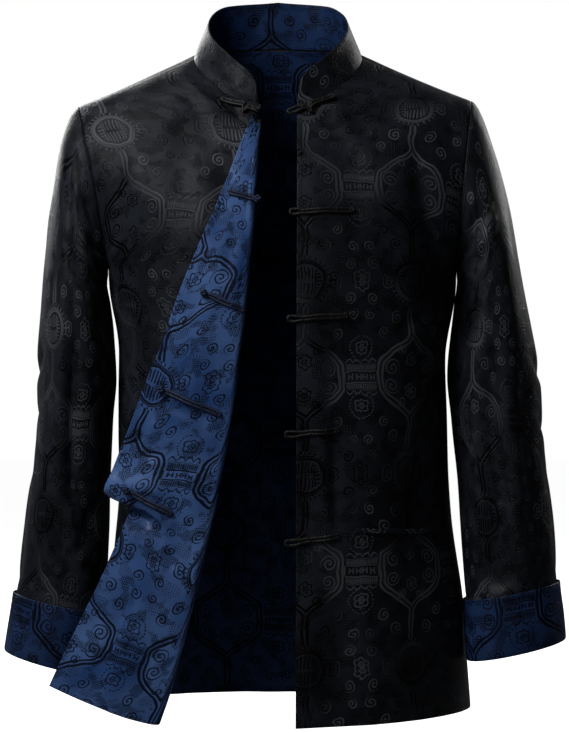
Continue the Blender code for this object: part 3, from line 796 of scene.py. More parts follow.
def quad_object(name: str, points: Array, faces: Array, corners: Array, kinds: Array,
                finishes: list[Material]) -> Object:
    """A smooth object of quads whose corners carry the cloth's coordinates.

    Args:
        name: the object's name.
        points: its vertices.
        faces: four vertex numbers for each quad.
        corners: cloth coordinates for each quad's corners.
        kinds: material slot of each quad.
        finishes: the materials.

    Returns:
        The new object, linked to the scene.
    """
    mesh = bpy.data.meshes.new(name)
    mesh.vertices.add(len(points))
    mesh.vertices.foreach_set("co", points.astype(np.float32).reshape(-1))
    mesh.loops.add(faces.size)
    mesh.loops.foreach_set("vertex_index", faces.astype(np.int32).reshape(-1))
    mesh.polygons.add(len(faces))
    mesh.polygons.foreach_set("loop_start", np.arange(0, faces.size, 4, dtype=np.int32))
    mesh.polygons.foreach_set("material_index", kinds.astype(np.int32))
    mesh.update(calc_edges=True)
    layer = mesh.uv_layers.new(name="cloth")
    layer.data.foreach_set("uv", corners.astype(np.float32).reshape(-1))
    mesh.shade_smooth()
    for finish in finishes:
        mesh.materials.append(finish)
    return add_object(name, mesh)


# --- body
class Part(Enum):
    """A stretch of the body that has its own rows and its own creases."""

    LEFT_FRONT = "left"
    RIGHT_FRONT = "right"
    TURNBACK = "flap"
    BACK_LEFT = "back_left"
    BACK_RIGHT = "back_right"


LEFT_FRONT_CREASES = creases(
    View.FRONT,
    (57.5, -398, 61, -520, 2, 6.5, -3.2, 0.5), (47, -395, 50, -525, 2, 11, 2.6),
    (150, -85, 180, -240, 10, 12, -4.2), (130, -100, 156, -260, 10, 17, 2.8),
    (46, -62, 96, -135, 6, 10, -2.4), (68, -40, 123, -115, 8, 11, -2),
    (62, -52, 110, -130, 6, 8, 2), (110, -300, 126, -670, 12, 26, 3),
    (76, -540, 60, -715, 4, 17, -2.8), (148, -430, 166, -700, 6, 18, -3.2),
    (92, -570, 98, -715, 4, 14, 2.4), (32, -560, 28, -715, 3, 13, 2),
    (186, -262, 124, -306, 6, 9, -2.8, 0.4), (184, -285, 118, -338, 6, 11, 2.2),
    (84, -531, 174, -535, 4, 6, -1.6), (38, -110, 44, -300, 4, 14, 1.8),
)
RIGHT_FRONT_CREASES = creases(
    View.FRONT,
    (-77.3, -27.2, -37, -85.5, -3, 6, -3.6, 0.3), (-66.7, -22, -24.3, -80.2, -3, 6.5, 3),
    (-56.1, -48.4, -29.6, -71.8, 1, 4.5, -2.4), (-95, -25, -56, -118, -5, 9.5, 2.2),
    (-100, -50, -136, -190, 8, 28, 3), (-164, -150, -156, -300, -6, 12, -4.2),
    (-148, -110, -138, -260, 4, 15, 2), (-176, -260, -116, -312, -6, 9, -2.6, 0.4),
    (-120, -200, -80, -320, 6, 16, -1.8), (-150, -380, -156, -560, 4, 12, -2.4),
)
TURNBACK_CREASES = creases(
    View.FRONT,
    (-186, -464, -118, -480, -4, 11, 4.2), (-180, -493, -128, -506, -3, 6.5, -5.2, -0.4),
    (-158, -515, -130, -535, 2, 8, 2.6), (-125, -378, -70, -400, -2, 7, -2.6, -0.3),
    (-130, -395, -110, -425, 3, 8, 2.8), (-148, -410, -125, -440, 2, 7, -2.6),
    (-72, -290, -96, -420, 4, 12, 2), (-95, -430, -108, -560, 5, 13, -2.4),
    (-125, -530, -165, -670, 6, 15, 2.8), (-150, -560, -195, -670, -4, 10, -2.6),
    (-90, -515, -77, -533, 1, 4.2, 1.8), (-111, -552, -93, -570, 1, 4.6, 2),
    (-124, -528, -106, -534, 1, 4, 1.6), (-185, -560, -173, -576, 1, 4.4, 1.8),
    (-133, -656, -112, -645, 1, 4.4, 1.8), (-170, -630, -143, -620, 1, 4.2, 1.7),
    (-42, -190, -56, -250, 1, 6, -1.4),
)
BACK_CREASES = creases(
    View.BACK,
    (64, -150, 52, -620, 14, 30, 3.4), (-70, -170, -58, -640, -10, 28, 3),
    (2, -180, 6, -600, 6, 30, -3.4), (122, -400, 140, -705, 6, 18, -3.2),
    (-130, -360, -144, -705, -6, 19, -3.4), (172, -255, 108, -305, 6, 9.5, -2.8, 0.3),
    (-170, -258, -102, -318, -6, 10, -3, 0.3), (165, -285, 104, -350, 6, 11, 2.2),
    (52, -12, 120, -90, 6, 13, 2), (-50, -10, -126, -95, -6, 12, 2.2),
    (35, -398, -80, -418, 4, 10, -1.8), (-20, -440, 90, -425, 4, 11, 1.4),
    (85, -560, 93, -712, 3, 14, 2.6), (-90, -580, -98, -712, 3, 15, 2.4),
    (136, -110, 156, -240, 6, 14, -2.8), (-138, -110, -154, -240, -6, 13, -2.6),
)


@dataclass
class Body:
    """The two fronts, one of them turned back, and the back cut in one.

    Args:
        black: finish of the outside.
        navy: finish of the turned-back front's inside.
        painted_shade_navy: a darker copy of the navy finish, painted shade for the inside where it
            lies in shade.
        edging: finish of the rolled edges.
    """

    black: Material
    navy: Material
    painted_shade_navy: Material
    edging: Material
    step: float = 0.0029
    left_columns: int = 74
    right_columns: int = 60
    flap_columns: int = 52
    back_columns: int = 62
    bend_steps: int = 11
    neck_rows: int = 34
    right_width: float = 0.21
    gap_share: float = 0.12
    left_origin: Pair = (0.031, 0.042)
    right_origin: Pair = (0.030, 0.069)
    flap_shift: Pair = (0.023, 0.070)
    back_origin: Pair = (0.0, 0.120)
    creases: dict = field(default_factory=lambda: {
        Part.LEFT_FRONT: LEFT_FRONT_CREASES, Part.RIGHT_FRONT: RIGHT_FRONT_CREASES,
        Part.TURNBACK: TURNBACK_CREASES, Part.BACK_LEFT: BACK_CREASES,
        Part.BACK_RIGHT: BACK_CREASES})

    def plain(self, part: Part, row: Array, across: Array) -> Array:
        """Points of the smooth form before its creases.

        Args:
            part: which stretch of the body.
            row: 0 at the hem, 2 at the shoulder.
            across: 0 at the inner end, 1 at the outer end.

        Returns:
            The points.
        """
        if part is Part.LEFT_FRONT:
            return FORM.panel(Wearer.LEFT, FORM.front, row, across)
        if part is Part.RIGHT_FRONT:
            return FORM.right_main(row, across)
        if part is Part.TURNBACK:
            return FORM.turnback(row, across)
        side = Wearer.LEFT if part is Part.BACK_LEFT else Wearer.RIGHT
        return FORM.panel(side, FORM.back, row, across)

    def looks(self, part: Part, row: Array, across: Array) -> Array:
        """Which way the seen face looks: the cross product of small steps on the form."""
        step = 2e-3
        here = self.plain(part, row, across)
        out = self.plain(part, row, across - step) - here
        up = self.plain(part, np.where(row > 1.0, row - step, row + step), across) - here
        up = np.where((row > 1.0)[..., None], -up, up)
        turned = part in (Part.LEFT_FRONT, Part.BACK_RIGHT)
        return unit(np.cross(out, up) * (-1 if turned else 1))

    def hold(self, part: Part, row: Array, across: Array) -> Array:
        """How freely the cloth creases, 0 at its seams and 1 away from them."""
        if part is Part.TURNBACK:
            return ease(across / 0.15)
        at_arm = 1 - ease((across - 0.86) / 0.14) * ease((row - 0.85) / 0.15)
        at_shoulder = 1 - ease((row - 1.82) / 0.18)
        at_neck = lerp(1.0, ease(across / self.gap_share), ease((row - 1.45) / 0.15))
        at_fold = ease(across / self.gap_share) if part is Part.RIGHT_FRONT else 1.0
        return at_arm * at_shoulder * at_neck * at_fold

    def shaped(self, part: Part, row: Array, across: Array) -> tuple[Array, Array]:
        """Points of the creased cloth, and the way that its seen face looks."""
        row, across = np.broadcast_arrays(np.asarray(row, float), np.asarray(across, float))
        points, looks = self.plain(part, row, across), self.looks(part, row, across)
        lift = press(points, looks, self.creases[part]) + sway(points)
        lift = lift * self.hold(part, row, across)
        return points + lift[..., None] * looks, looks

    def rows(self, side: Wearer, cut: Cut, top: float | None = None) -> Array:
        """Rows in even steps of cloth, from a finely stepped hem up to the shoulder.

        Args:
            side: the wearer's side.
            cut: front or back.
            top: a height that has to have a row of its own.

        Returns:
            The rows, as a column.
        """
        chest, hem = FORM.chest(side, cut), cut.hems[side]
        low = spread(int((chest - hem) / self.step), chest - hem, high=False)
        high = np.linspace(0, 1, int((cut.neck_seam - chest) * 1.1 / self.step))[1:]
        neck = np.linspace(1 + cut.neck_share, 2, self.neck_rows)[1:]
        heights = join([lerp(hem, chest, low), lerp(chest, cut.neck_seam, high)])
        if top is not None:
            heights[np.argmin(np.abs(heights - top))] = top
        return join([FORM.row_at(side, cut, heights), neck])[:, None]

    @staticmethod
    def soften(grid: Array, row: Array) -> Array:
        """Even out the bend where the rows pass the underarm, by means of neighbours."""
        near = np.exp(-((row - 1) / 0.05) ** 2)[1:-1, :, None]
        for _ in range(30):
            middle = (grid[:-2] + grid[2:]) / 2
            grid = join([grid[:1], lerp(grid[1:-1], middle, 0.5 * near), grid[-1:]])
        return grid

    @staticmethod
    def measure(grid: Array, start: Array, sign: int, origin: Pair) -> Array:
        """Cloth coordinates: length along each row from its start, and up from the hem."""
        return np.stack([sign * (start + arc(grid, 1)) + origin[0], arc(grid, 0) + origin[1]], -1)

    def front_left(self) -> Object:
        """The wearer's left front, with the loops' edge."""
        row = self.rows(Wearer.LEFT, FORM.front)
        across = spread(self.left_columns, 0.24, high=False)[None]
        grid, _ = self.shaped(Part.LEFT_FRONT, row, across)
        grid[:, :-3] = self.soften(grid, row)[:, :-3]
        start = np.abs(grid[:, :1, 0])
        edge = np.minimum(arc(grid, 1), arc(grid, 0))
        shell = Shell("cloth_front_left", grid,
                      self.measure(grid, start, 1, self.left_origin), edge=edge)
        return self.declare(shell, "front_left")

    def front_right(self) -> Object:
        """The wearer's right front: its main part, the fold, and the part turned back."""
        row = self.rows(Wearer.RIGHT, FORM.front, FLAP_TOP)
        main, _ = self.shaped(Part.RIGHT_FRONT, row, np.linspace(1, 0, self.right_columns)[None])
        main[:, 3:-3] = self.soften(main, row)[:, 3:-3]
        turns = np.linspace(0, np.pi, self.bend_steps)[None, 1:]
        bend = FORM.right_bend(*np.broadcast_arrays(row, turns))
        flap, _ = self.shaped(Part.TURNBACK, row,
                              spread(self.flap_columns, 0.12, low=False)[None, 1:])
        grid = join([main, bend, flap], axis=1)
        heights = FORM.height_of(Wearer.RIGHT, FORM.front, row[:, 0])
        keep = np.ones((grid.shape[0] - 1, grid.shape[1] - 1), bool)
        keep[heights[1:] > FLAP_TOP + 1e-6, main.shape[1] - 1:] = False
        start = np.abs(grid[:, :1, 0]) - self.right_width
        edge = np.minimum(arc(grid[:, ::-1], 1)[:, ::-1], arc(grid, 0))
        past = ease((np.arange(grid.shape[1]) - main.shape[1] + 1) / self.bend_steps)
        measure = self.measure(grid, start, 1, self.right_origin)
        measure = measure + past[None, :, None] * np.array(self.flap_shift)
        shell = Shell("cloth_front_right", grid, measure, keep=keep, edge=edge)
        return self.declare(shell, "front_right")

    def back(self) -> Object:
        """The back, with its two halves meeting at the centre back."""
        row = self.rows(Wearer.LEFT, FORM.back)
        half = np.linspace(0, 1, self.back_columns)
        left, _ = self.shaped(Part.BACK_LEFT, row, half[None, ::-1])
        right, _ = self.shaped(Part.BACK_RIGHT, row, half[None])
        centre = (left[:, -1:] + right[:, :1]) / 2
        open_rows = (row[:, 0] > 1 + FORM.back.neck_share + 1e-6)[:, None, None]
        centre_left = np.where(open_rows, left[:, -1:], centre)
        centre_right = np.where(open_rows, right[:, :1], centre)
        left = join([left[:, :-1], centre_left], axis=1)
        right = join([centre_right, right[:, 1:]], axis=1)
        grid_left = self.measure(left[:, ::-1], np.abs(left[:, -1:, 0]), -1, self.back_origin)
        grid_right = self.measure(right, np.abs(right[:, :1, 0]), 1, self.back_origin)
        measure = join([grid_left[:, ::-1], grid_right], axis=1)
        made = self.joined_back(left, right, row, measure)
        return put_on(made, "back")

    def joined_back(self, left: Array, right: Array, row: Array, measure: Array) -> Object:
        """The two halves as one shell: they share their centre column below the neck.

        Args:
            left: the left half.
            right: the right half.
            row: the rows of both.
            measure: the cloth's own coordinates.

        Returns:
            The new object.
        """
        grid = join([left, right], axis=1)
        grid[:, 3:-3] = self.soften(grid, row)[:, 3:-3]
        seam = left.shape[1] - 1
        keep = np.ones((grid.shape[0] - 1, grid.shape[1] - 1), bool)
        keep[:, seam] = False
        shell = BackShell("cloth_back", grid, measure, keep=keep, edge=arc(grid, 0))
        shell.seam = seam
        # The back's inside takes the painted shade copy of the navy.
        return shell.build([self.black, self.painted_shade_navy, self.edging])

    def declare(self, shell: Shell, node: str) -> Object:
        """Build a front and put it in its node's place."""
        # Every inside but the turned-back front's takes the painted shade copy of the navy.
        inside = self.navy if node == "front_right" else self.painted_shade_navy
        made = shell.build([self.black, inside, self.edging])
        return put_on(made, node)

    def build(self) -> list[Object]:
        """All three pieces."""
        return [self.front_left(), self.front_right(), self.back()]


# --- sleeves, cuffs, collar
SLEEVE_CREASES = {
    Wearer.RIGHT: creases(
        View.FRONT,
        (-217, -300, -222.5, -480, 3, 8, -5.6, 0.3), (-230, -305, -234.5, -505, 3, 8.5, 3.6),
        (-228, -463, -202, -472, 1, 6.5, -3.4), (-219, -144, -191, -206, 3, 7, 3.6, 0.3),
        (-209, -156, -196, -226, -4, 7.5, -4.4), (-233, -130, -219, -250, -6, 10, -2.6),
        (-240, -220, -227, -330, 4, 12, 2.6), (-208, -250, -196, -350, 4, 11, 3),
        (-199, -490, -223, -548, -4, 8, -3.4), (-208, -548, -184, -592, 3, 7, -3.6, 0.3),
        (-236, -526, -215, -586, 3, 7.5, -3.6), (-225, -520, -201, -582, 2, 7.5, 3.2),
        (-256, -420, -264, -570, 3, 11, -2.8), (-248, -390, -252, -570, 4, 10, 2.4),
    ) + creases(
        View.RIGHT,
        (30, -100, 24, -360, 6, 15, -3), (5, -130, 0, -420, 6, 14, 2.6),
        (-35, -320, 25, -365, 6, 9, -3.4, 0.4), (-30, -380, 28, -415, 5, 8.5, -2.8, 0.4),
        (-10, -430, -20, -585, 4, 13, -3), (12, -450, 2, -585, 4, 12, 2.4),
    ) + creases(
        View.BACK,
        (-230, -160, -206, -290, 6, 11, -3.6), (-248, -330, -200, -370, 6, 9, -4, 0.4),
        (-250, -370, -206, -415, 5, 8.5, -3.2, 0.4), (-230, -430, -240, -585, 4, 12, -3),
    ),
    Wearer.LEFT: creases(
        View.FRONT,
        (205, -159, 228, -178, -3, 6, 3.6), (229, -176, 224, -206, -2, 5.5, 3.4),
        (224, -205, 204, -240, 3, 6, 3.6), (215, -174, 208, -223, 2, 7, -4.4),
        (202, -228, 196, -308, 2, 6.5, -3.8), (214.5, -300, 217.5, -595, 3, 8.5, 3.6),
        (204.5, -310, 207.5, -570, 2, 6.5, -2.8), (230, -270, 242, -595, 4, 12, -4.6),
        (246, -190, 260, -420, 4, 12, 2.6), (256, -410, 268, -590, 3, 11, 2.8),
        (210, -460, 242, -485, 4, 8.5, -2.6), (215, -550, 242, -585, 3, 7, -2.6, 0.3),
        (262, -330, 278, -550, 3, 11, -2.8),
    ) + creases(
        View.LEFT,
        (30, -100, 26, -340, 6, 15, -3), (8, -120, 4, -410, 6, 14, 2.6),
        (-35, -330, 25, -360, 6, 9, -3.2, 0.4), (-35, -390, 20, -425, 5, 8.5, -3, 0.4),
        (-20, -440, -35, -585, 4, 13, -3), (5, -450, -10, -585, 4, 12, 2.4),
    ) + creases(
        View.BACK,
        (236, -160, 212, -290, -6, 11, -3.6), (262, -340, 212, -370, -6, 9, -4, 0.4),
        (264, -385, 216, -425, -5, 8.5, -3.2, 0.4), (242, -440, 250, -590, -4, 12, -3),
    ),
}
COLLAR_CREASES = creases(
    View.FRONT,
    (-80, 10, -62, -33, 3, 8, -1.2), (78, 16, 68, -25, 3, 9, -1.4), (56, -15, 42, -42, 2, 9, 1),
    (-56, -12, -40, -45, 2, 9, 1),
) + creases(
    View.BACK,
    (50, 20, 40, 60, 2, 12, -1.2), (-45, 20, -38, 60, 2, 12, -1.2),
)


@dataclass
class Sleeves:
    """Both sleeves, each a tube from its armhole to its hem, and the turned-up cuffs."""

    black: Material
    # navy: the painted shade copy of the navy finish is passed here.
    navy: Material
    edging: Material
    columns: int = 104
    step: float = 0.0027
    cuff_columns: int = 150
    cuff_rows: int = 24
    cuff_length: float = 0.072
    cuff_hem: float = 0.045
    cuff_tuck: float = 0.42
    cuff_pad: float = 0.0008
    cuff_squash: float = 0.92
    cuff_ripple: float = 0.0005
    seam_offset: float = 0.0003
    head: float = 0.0013
    head_reach: float = 0.0075
    pucker: float = 0.00035
    pucker_count: int = 23
    cuff_step: float = 0.0026
    cuff_flare: float = 0.0012
    cuff_start: float = CUFF_RING
    sleeve_origin: Pair = (0.018, 0.060)
    cuff_origin: Pair = (0.040, 0.015)

    def stations(self, side: Wearer) -> Array:
        """Stations of a sleeve in even steps of its middle's height."""
        table = SLEEVES[side]
        middle = (column(table, "outer_height") + column(table, "inner_height")) / 2
        fine = np.linspace(0, len(table) - 1, 900)
        height = smooth(np.arange(len(table)), middle, fine)
        length = height[0] - height[-1]
        want = height[0] - length * spread(int(length / self.step), length)
        return np.interp(-want, -height, fine)[:, None]

    def sleeve(self, side: Wearer, node: str) -> Object:
        """One sleeve: its head swells a little past the armhole seam and puckers there.

        Args:
            side: which sleeve.
            node: the node that it stands for.

        Returns:
            The new object.
        """
        station = self.stations(side)
        turn = (np.arange(self.columns) / self.columns * 2 * np.pi - np.pi)[None]
        grid = FORM.sleeve_ring(side, station, turn)
        normals = grid_normals(grid, True) * (-1 if side is Wearer.RIGHT else 1)
        reach = arc(grid, 0)
        swell = self.head * np.exp(-((reach - self.head_reach) / self.head_reach) ** 2)
        swell += (self.pucker * np.sin(self.pucker_count * turn) * np.exp(-reach / 0.010)
                  * ease(reach / 0.003) * np.clip(-2 * np.cos(turn - np.pi) + 0.4, 0, 1))
        free = ease(reach / 0.018) * (1 - ease((station - self.cuff_start + 0.35) / 0.35))
        lift = (press(grid, normals, SLEEVE_CREASES[side]) + sway(grid)) * free + swell
        grid = grid + lift[..., None] * normals
        grid[..., 0] += side.value * self.seam_offset * np.clip(1 - station, 0, 1)
        made = Shell(f"cloth_{node}", grid, self.measure(grid, side, self.sleeve_origin),
                     closed=True, flip=side is Wearer.RIGHT,
                     edge=np.broadcast_to(reach, grid.shape[:2])).build(
                         [self.black, self.navy, self.edging])
        return put_on(made, node)

    @staticmethod
    def measure(grid: Array, side: Wearer, origin: Pair) -> Array:
        """Cloth coordinates of a tube: round from the outer line, and down its length."""
        ring = join([grid, grid[:, :1]], axis=1)
        widest = arc(ring, 1).max()
        columns = grid.shape[1]
        around = (np.arange(columns + 1) / columns - 0.5) * widest * side.value
        along = np.mean(arc(ring, 0), axis=1)
        u, v = np.broadcast_arrays(around[None] + origin[0], origin[1] - along[:, None])
        return np.stack([u, v], axis=-1)

    def cuff(self, side: Wearer, node: str) -> Object:
        """A turned-up cuff: outside the sleeve, round its end, and a little way inside.

        Its share of the way from the sleeve's end to its own top falls to the hem's,
        dips by a sine round the bend and rises again inside, while its distance from
        the sleeve's middle surface falls by 1 less a cosine.

        Args:
            side: which sleeve.
            node: the node that it stands for.

        Returns:
            The new object.
        """
        last = len(SLEEVES[side]) - 1
        turn = (np.arange(self.cuff_columns) / self.cuff_columns * 2 * np.pi - np.pi)[None]
        up = 1 - spread(self.cuff_rows, self.cuff_length, high=False)
        up = join([up[up > self.cuff_hem], [self.cuff_hem]])
        bend = np.linspace(0, np.pi, 9)[1:]
        inside = np.linspace(self.cuff_hem, self.cuff_tuck, 10)[1:]
        dip = self.cuff_hem * (1 - np.sin(bend))
        share = join([up, dip, inside])[:, None]
        station = lerp(last, self.cuff_start, share)
        out = self.cuff_step + self.cuff_flare * share
        radius = self.cuff_step - self.cuff_pad
        first, after = len(up), len(up) + len(bend)
        fall = radius * (1 - np.cos(bend)) * self.cuff_squash
        out[first:after, 0] = self.cuff_step - fall
        out[after:, 0] = self.cuff_step - 2 * radius * self.cuff_squash
        ring = FORM.sleeve_ring(side, station + 0 * turn, turn + 0 * station)
        middle = (FORM.sleeve_ring(side, station, 0 * station)
                  + FORM.sleeve_ring(side, station, 0 * station + np.pi)) / 2
        away = unit(ring - middle)
        ripple = self.cuff_ripple * np.sin(3 * turn + 1.0) * np.sin(5 * turn) * ease(share / 0.3)
        grid = ring + (out + ripple)[..., None] * away
        made = Shell(f"cloth_{node}", grid, self.measure(grid, side, self.cuff_origin),
                     closed=True, flip=side is Wearer.RIGHT,
                     edge=np.broadcast_to(arc(grid, 0), grid.shape[:2])).build(
                         [self.navy, self.black, self.navy])
        return put_on(made, node)

    def build(self) -> list[Object]:
        """Both sleeves and both cuffs."""
        made = []
        for side in Wearer:
            name = side.name.lower()
            made += [self.sleeve(side, f"sleeve_{name}"), self.cuff(side, f"cuff_{name}")]
        return made


@dataclass
class Collar:
    """The stand collar, from one front edge round the back to the other."""

    black: Material
    # navy: the painted shade copy of the navy finish is passed here.
    navy: Material
    edging: Material
    top_half_width: float = 0.0765
    top_front: float = 0.0690
    top_back: float = 0.0470
    foot_lift: float = -0.0008
    corner: float = 0.0260
    spread_angle: float = 7 * DEGREE
    columns: int = 330
    rows: int = 26
    wall: float = 0.0019
    origin: Pair = (0.052, 0.030)

    def surface(self, turn: Array, share: Array) -> Array:
        """Share 0 at the neck seam, 1 at the top edge, whose front corners are round.

        The corner draws the top down by half of 1 less the quarter circle's height.

        Args:
            turn: angle round the neck.
            share: how far up the collar.

        Returns:
            The points.
        """
        foot = FORM.neckline(turn)
        foot[..., 2] += self.foot_lift
        depth = np.where(np.cos(turn) > 0, self.top_front, self.top_back)
        wide = turn + self.spread_angle * np.sign(np.sin(turn)) * np.maximum(np.cos(turn), 0) ** 2
        top = stack(self.top_half_width * np.sin(wide), -depth * np.cos(wide),
                    read(NECKS, "turn", "top", neck_turn(wide)))
        near_edge = np.minimum(turn - FORM.neck_start, 2 * np.pi - FORM.neck_start - turn)
        near = np.clip(1 - FORM.neck_half_width * near_edge / self.corner, 0, 1)
        height = 1 - 0.5 * (1 - np.sqrt(1 - near ** 2))
        return lerp(foot, top, (share * height)[..., None])

    def build(self) -> list[Object]:
        """The collar with its few soft dents."""
        start = FORM.neck_start
        turn = lerp(start, 2 * np.pi - start, spread(self.columns, 0.52))[None]
        share = spread(self.rows, 0.048)[:, None]
        grid = self.surface(turn + 0 * share, share + 0 * turn)
        normals = grid_normals(grid)
        lift = (press(grid, normals, COLLAR_CREASES) + 0.6 * sway(grid)) * ease(share / 0.25)
        grid = grid + lift[..., None] * normals
        around = arc(grid, 1).mean(axis=0, keepdims=True)
        measure = np.stack(np.broadcast_arrays(around - around.max() / 2 + self.origin[0],
                                               arc(grid, 0) + self.origin[1]), axis=-1)
        ends = np.minimum(arc(grid, 1), arc(grid[:, ::-1], 1)[:, ::-1])
        sides = np.minimum(ends, arc(grid[::-1], 0)[::-1])
        made = Shell("cloth_collar", grid, measure, edge=sides, wall=self.wall).build(
            [self.black, self.navy, self.edging])
        return [put_on(made, "collar")]


# --- what lies on a front
def locate(body: Body, part: Part, x: Array, z: Array) -> tuple[Array, Array]:
    """Row and across of the places on a panel that are seen at x and z from the front.

    Newton's method on the plain form: both steps come from the slopes of x and z.

    Args:
        body: the body that the panel belongs to.
        part: the panel.
        x: places across, from the front.
        z: heights.

    Returns:
        Row and across of each place.
    """
    side = Wearer.LEFT if part is Part.LEFT_FRONT else Wearer.RIGHT
    row = np.array(FORM.row_at(side, FORM.front, z), float)
    across = np.full_like(row, 0.3)
    step = 1e-4
    for _ in range(24):
        here = body.plain(part, row, across)
        by_row = (body.plain(part, row + step, across) - here) / step
        by_across = (body.plain(part, row, across + step) - here) / step
        off_x, off_z = x - here[..., 0], z - here[..., 2]
        det = by_row[..., 0] * by_across[..., 2] - by_row[..., 2] * by_across[..., 0]
        det = np.where(np.abs(det) < 1e-9, 1e-9, det)
        to_row = (off_x * by_across[..., 2] - off_z * by_across[..., 0]) / det
        to_across = (off_z * by_row[..., 0] - off_x * by_row[..., 2]) / det
        row = np.clip(row + np.clip(to_row, -0.1, 0.1), 0.0, 1.98)
        across = np.clip(across + np.clip(to_across, -0.1, 0.1), -0.2, 1.0)
    return row, across


@dataclass(frozen=True)
class Line:
    """A line along a front: its points on the creased cloth, and the way out of it."""

    points: Array
    out: Array

    @staticmethod
    def between(body: Body, panel: str, ends: Quad, count: int) -> Line:
        """The line from (x0, z0) to (x1, z1) seen from the front, in even steps."""
        x0, z0, x1, z1 = ends
        share = np.linspace(0, 1, count)
        part = Part(panel)
        row, across = locate(body, part, lerp(x0, x1, share), lerp(z0, z1, share))
        return Line(*body.shaped(part, row, across))

    def at(self, share: Array) -> tuple[Array, Array, Array]:
        """Point, way along and way out at shares of the line, straight on past its ends."""
        knots = np.linspace(0, 1, len(self.points))
        held = np.clip(share, 0, 1)
        point = np.stack([np.interp(held, knots, self.points[:, i]) for i in range(3)], -1)
        out = unit(np.stack([np.interp(held, knots, self.out[:, i]) for i in range(3)], -1))
        along = unit(self.points[-1] - self.points[0])
        length = np.linalg.norm(np.diff(self.points, axis=0), axis=-1).sum()
        return point + ((share - held) * length)[:, None] * along, along, out


@dataclass
class Cord:
    """Round cords gathered into one object: rings of points round each path."""

    sides: int = 12
    points: list = field(default_factory=list)
    faces: list = field(default_factory=list)
    cloth: list = field(default_factory=list)
    count: int = 0

    def add(self, path: Array, out: Array, radius: Array | float, closed: bool = False) -> None:
        """Sweep a circle along a path.

        Args:
            path: the middle of the cord.
            out: a direction across the path at each point, from which rings are counted.
            radius: the cord's radius, one value or one for each point.
            closed: True when the path's end joins its start.
        """
        ring = join([path[-1:], path, path[:1]]) if closed else path
        along = unit((ring[2:] - ring[:-2]) if closed else np.gradient(path, axis=0))
        wide = unit(np.cross(out, along))
        up = np.cross(along, wide)
        after = join([path, path[:1]]) if closed else path
        length = arc(after, 0)
        angle = (np.arange(self.sides) / self.sides * 2 * np.pi)[None]
        size = np.broadcast_to(radius, len(path))[:, None, None]
        points = (path[:, None] + size * np.cos(angle)[..., None] * wide[:, None]
                  + size * np.sin(angle)[..., None] * up[:, None])
        rows = len(path)
        i, j = np.meshgrid(np.arange(rows if closed else rows - 1), np.arange(self.sides),
                           indexing="ij")
        next_i, next_j = (i + 1) % rows, (j + 1) % self.sides
        faces = np.stack([i * self.sides + j, i * self.sides + next_j,
                          next_i * self.sides + next_j, next_i * self.sides + j], -1)
        around = np.arange(self.sides + 1) / self.sides * 0.011
        u, v = np.broadcast_arrays(around[None], length[:, None])
        at = np.stack([u, v], -1)
        corners = np.stack([at[i, j], at[i, j + 1], at[i + 1, j + 1], at[i + 1, j]], -2)
        self.points.append(points.reshape(-1, 3))
        self.faces.append(faces.reshape(-1, 4) + self.count)
        self.cloth.append(corners.reshape(-1, 4, 2))
        self.count += rows * self.sides

    def build(self, name: str, finish: Material) -> Object:
        """One object of all its cords."""
        faces = join(self.faces)
        return quad_object(name, join(self.points), faces,
                           join(self.cloth), np.zeros(len(faces), int), [finish])


